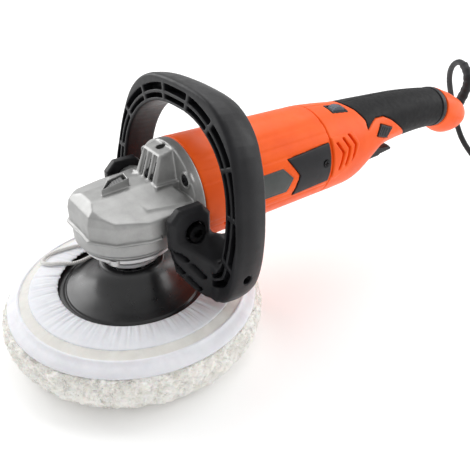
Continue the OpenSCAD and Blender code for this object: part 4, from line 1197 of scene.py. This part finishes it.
def make_plate():
    """Backing plate: dished gloss rubber with a rim groove, a trumpet hub and a rounded edge."""
    dish = [(24.2, 64.8), (25.4, 61.5), (27.6, 57.8), (31.2, 53.8), (36.4, 49.9), (43.5, 46.4), (50.3, 44.3)]
    outer = smooth_line(dish, 8)
    groove = [(50.9, 44.0), (51.3, 42.9), (52.2, 42.7), (52.8, 43.4), (53.3, 43.75)]
    edge = [(54, 43.7), (60, 43.2), (70, 42.1), (78, 40.2), (82.4, 37.8), (84, 34.6), (84, 31), (83.4, 30.3)]
    rim = smooth_line(edge, 5)
    hub = [(12.1, 30.3), (12.1, 64.0), (18.2, 64.0), (18.8, 66.2), (20, 66.4), (22.6, 66.2), (23.6, 65.7)]
    profile = hub + [tuple(p) for p in outer] + groove + [tuple(p) for p in rim]
    plate = lathe("backing_plate_disc", profile, 240)
    return place(plate, "spindle_group", "plate_black", "backing_plate")


def make_foam():
    edge = [(84.2 + 1.2 * math.cos(a), 28.7 + 1.3 * math.sin(a)) for a in np.linspace(1.57, 0, 6)]
    low = [(84.2 + 1.2 * math.cos(a), 13.6 - 1.3 * math.sin(a)) for a in np.linspace(0, 1.57, 6)]
    profile = [(11.2, 29.9), (40, 30.05), (75, 30.05)] + edge + [(85.6, 21)] + low + [(60, 12.3), (0, 12.3)]
    profile += [(0, 20), (10.6, 20)]
    foam = lathe("foam_disc", profile, 200)
    place(foam, "spindle_group", "foam", "foam_pad")


CREAM = woven_cloth()
CREAM.name = "cloth_backing"
CREAM.node_tree.nodes["Color Ramp"].color_ramp.elements[0].color = (0.70, 0.68, 0.64, 1)
CREAM.node_tree.nodes["Color Ramp"].color_ramp.elements[1].color = (0.80, 0.78, 0.74, 1)

make_plate()
make_foam()
wool = make_wool()
make_tufts()
gathers = cloth_ring("bonnet_gathers", 56.8, 78.4, 26, 0.42, MATERIALS["cloth"], 0.6, 5)
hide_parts("cloth_cover")
backing = cloth_ring("bonnet_backing", 78.3, 86.2, 12, 0.10, CREAM, 0.8, 8)
binding = uneven_lathe("bonnet_binding", binding_profile(), 0.7)
place(binding, "spindle_group", "cloth")
make_drawstring()


# ---------------------------------------------------------------- floor and light
FLOOR_HALF = 4.0        # half the floor's side, m
FLOOR_GLOW = 0.08
WORLD_LIGHT = 0.70
# name, place and target in m, size in m, power in W
LIGHTS = [
    ("left", (-1.5, -0.5, 0.9), (0, 0.05, 0.08), 1.3, 17),
    ("right", (0.6, 1.7, 1.0), (0, 0.15, 0.08), 1.3, 13),
    ("top", (-0.7, 0.9, 1.8), (0, 0.1, 0.05), 1.5, 15),
]


def make_stage():
    """Pale floor, white surroundings and three soft lights."""
    half = FLOOR_HALF / MM
    corners = [(-half, -half, 0), (half, -half, 0), (half, half, 0), (-half, half, 0)]
    floor = mesh_object("floor", corners, [(0, 1, 2, 3)], False)
    pale = Shader("floor_pale", 0.75, Emission_Strength=FLOOR_GLOW)
    pale.bsdf.inputs["Emission Color"].default_value = (1, 1, 1, 1)
    pale.tint(pale.noise(400), (0.94, 0.94, 0.94), (0.96, 0.96, 0.96))
    floor.data.materials.append(pale.mat)
    world = bpy.data.worlds.new("world")
    world.use_nodes = True
    sky = world.node_tree.nodes["Background"]
    sky.inputs["Color"].default_value = (1, 1, 1, 1)
    sky.inputs["Strength"].default_value = WORLD_LIGHT
    bpy.context.scene.world = world
    for name, spot, target, size_m, power in LIGHTS:
        data = bpy.data.lights.new(name, "AREA")
        data.size = size_m
        data.energy = power
        light = link(bpy.data.objects.new(name, data))
        light.location = spot
        light.rotation_euler = (Vector(target) - Vector(spot)).to_track_quat("-Z", "Y").to_euler()


make_stage()
bpy.context.scene.view_settings.view_transform = "Standard"
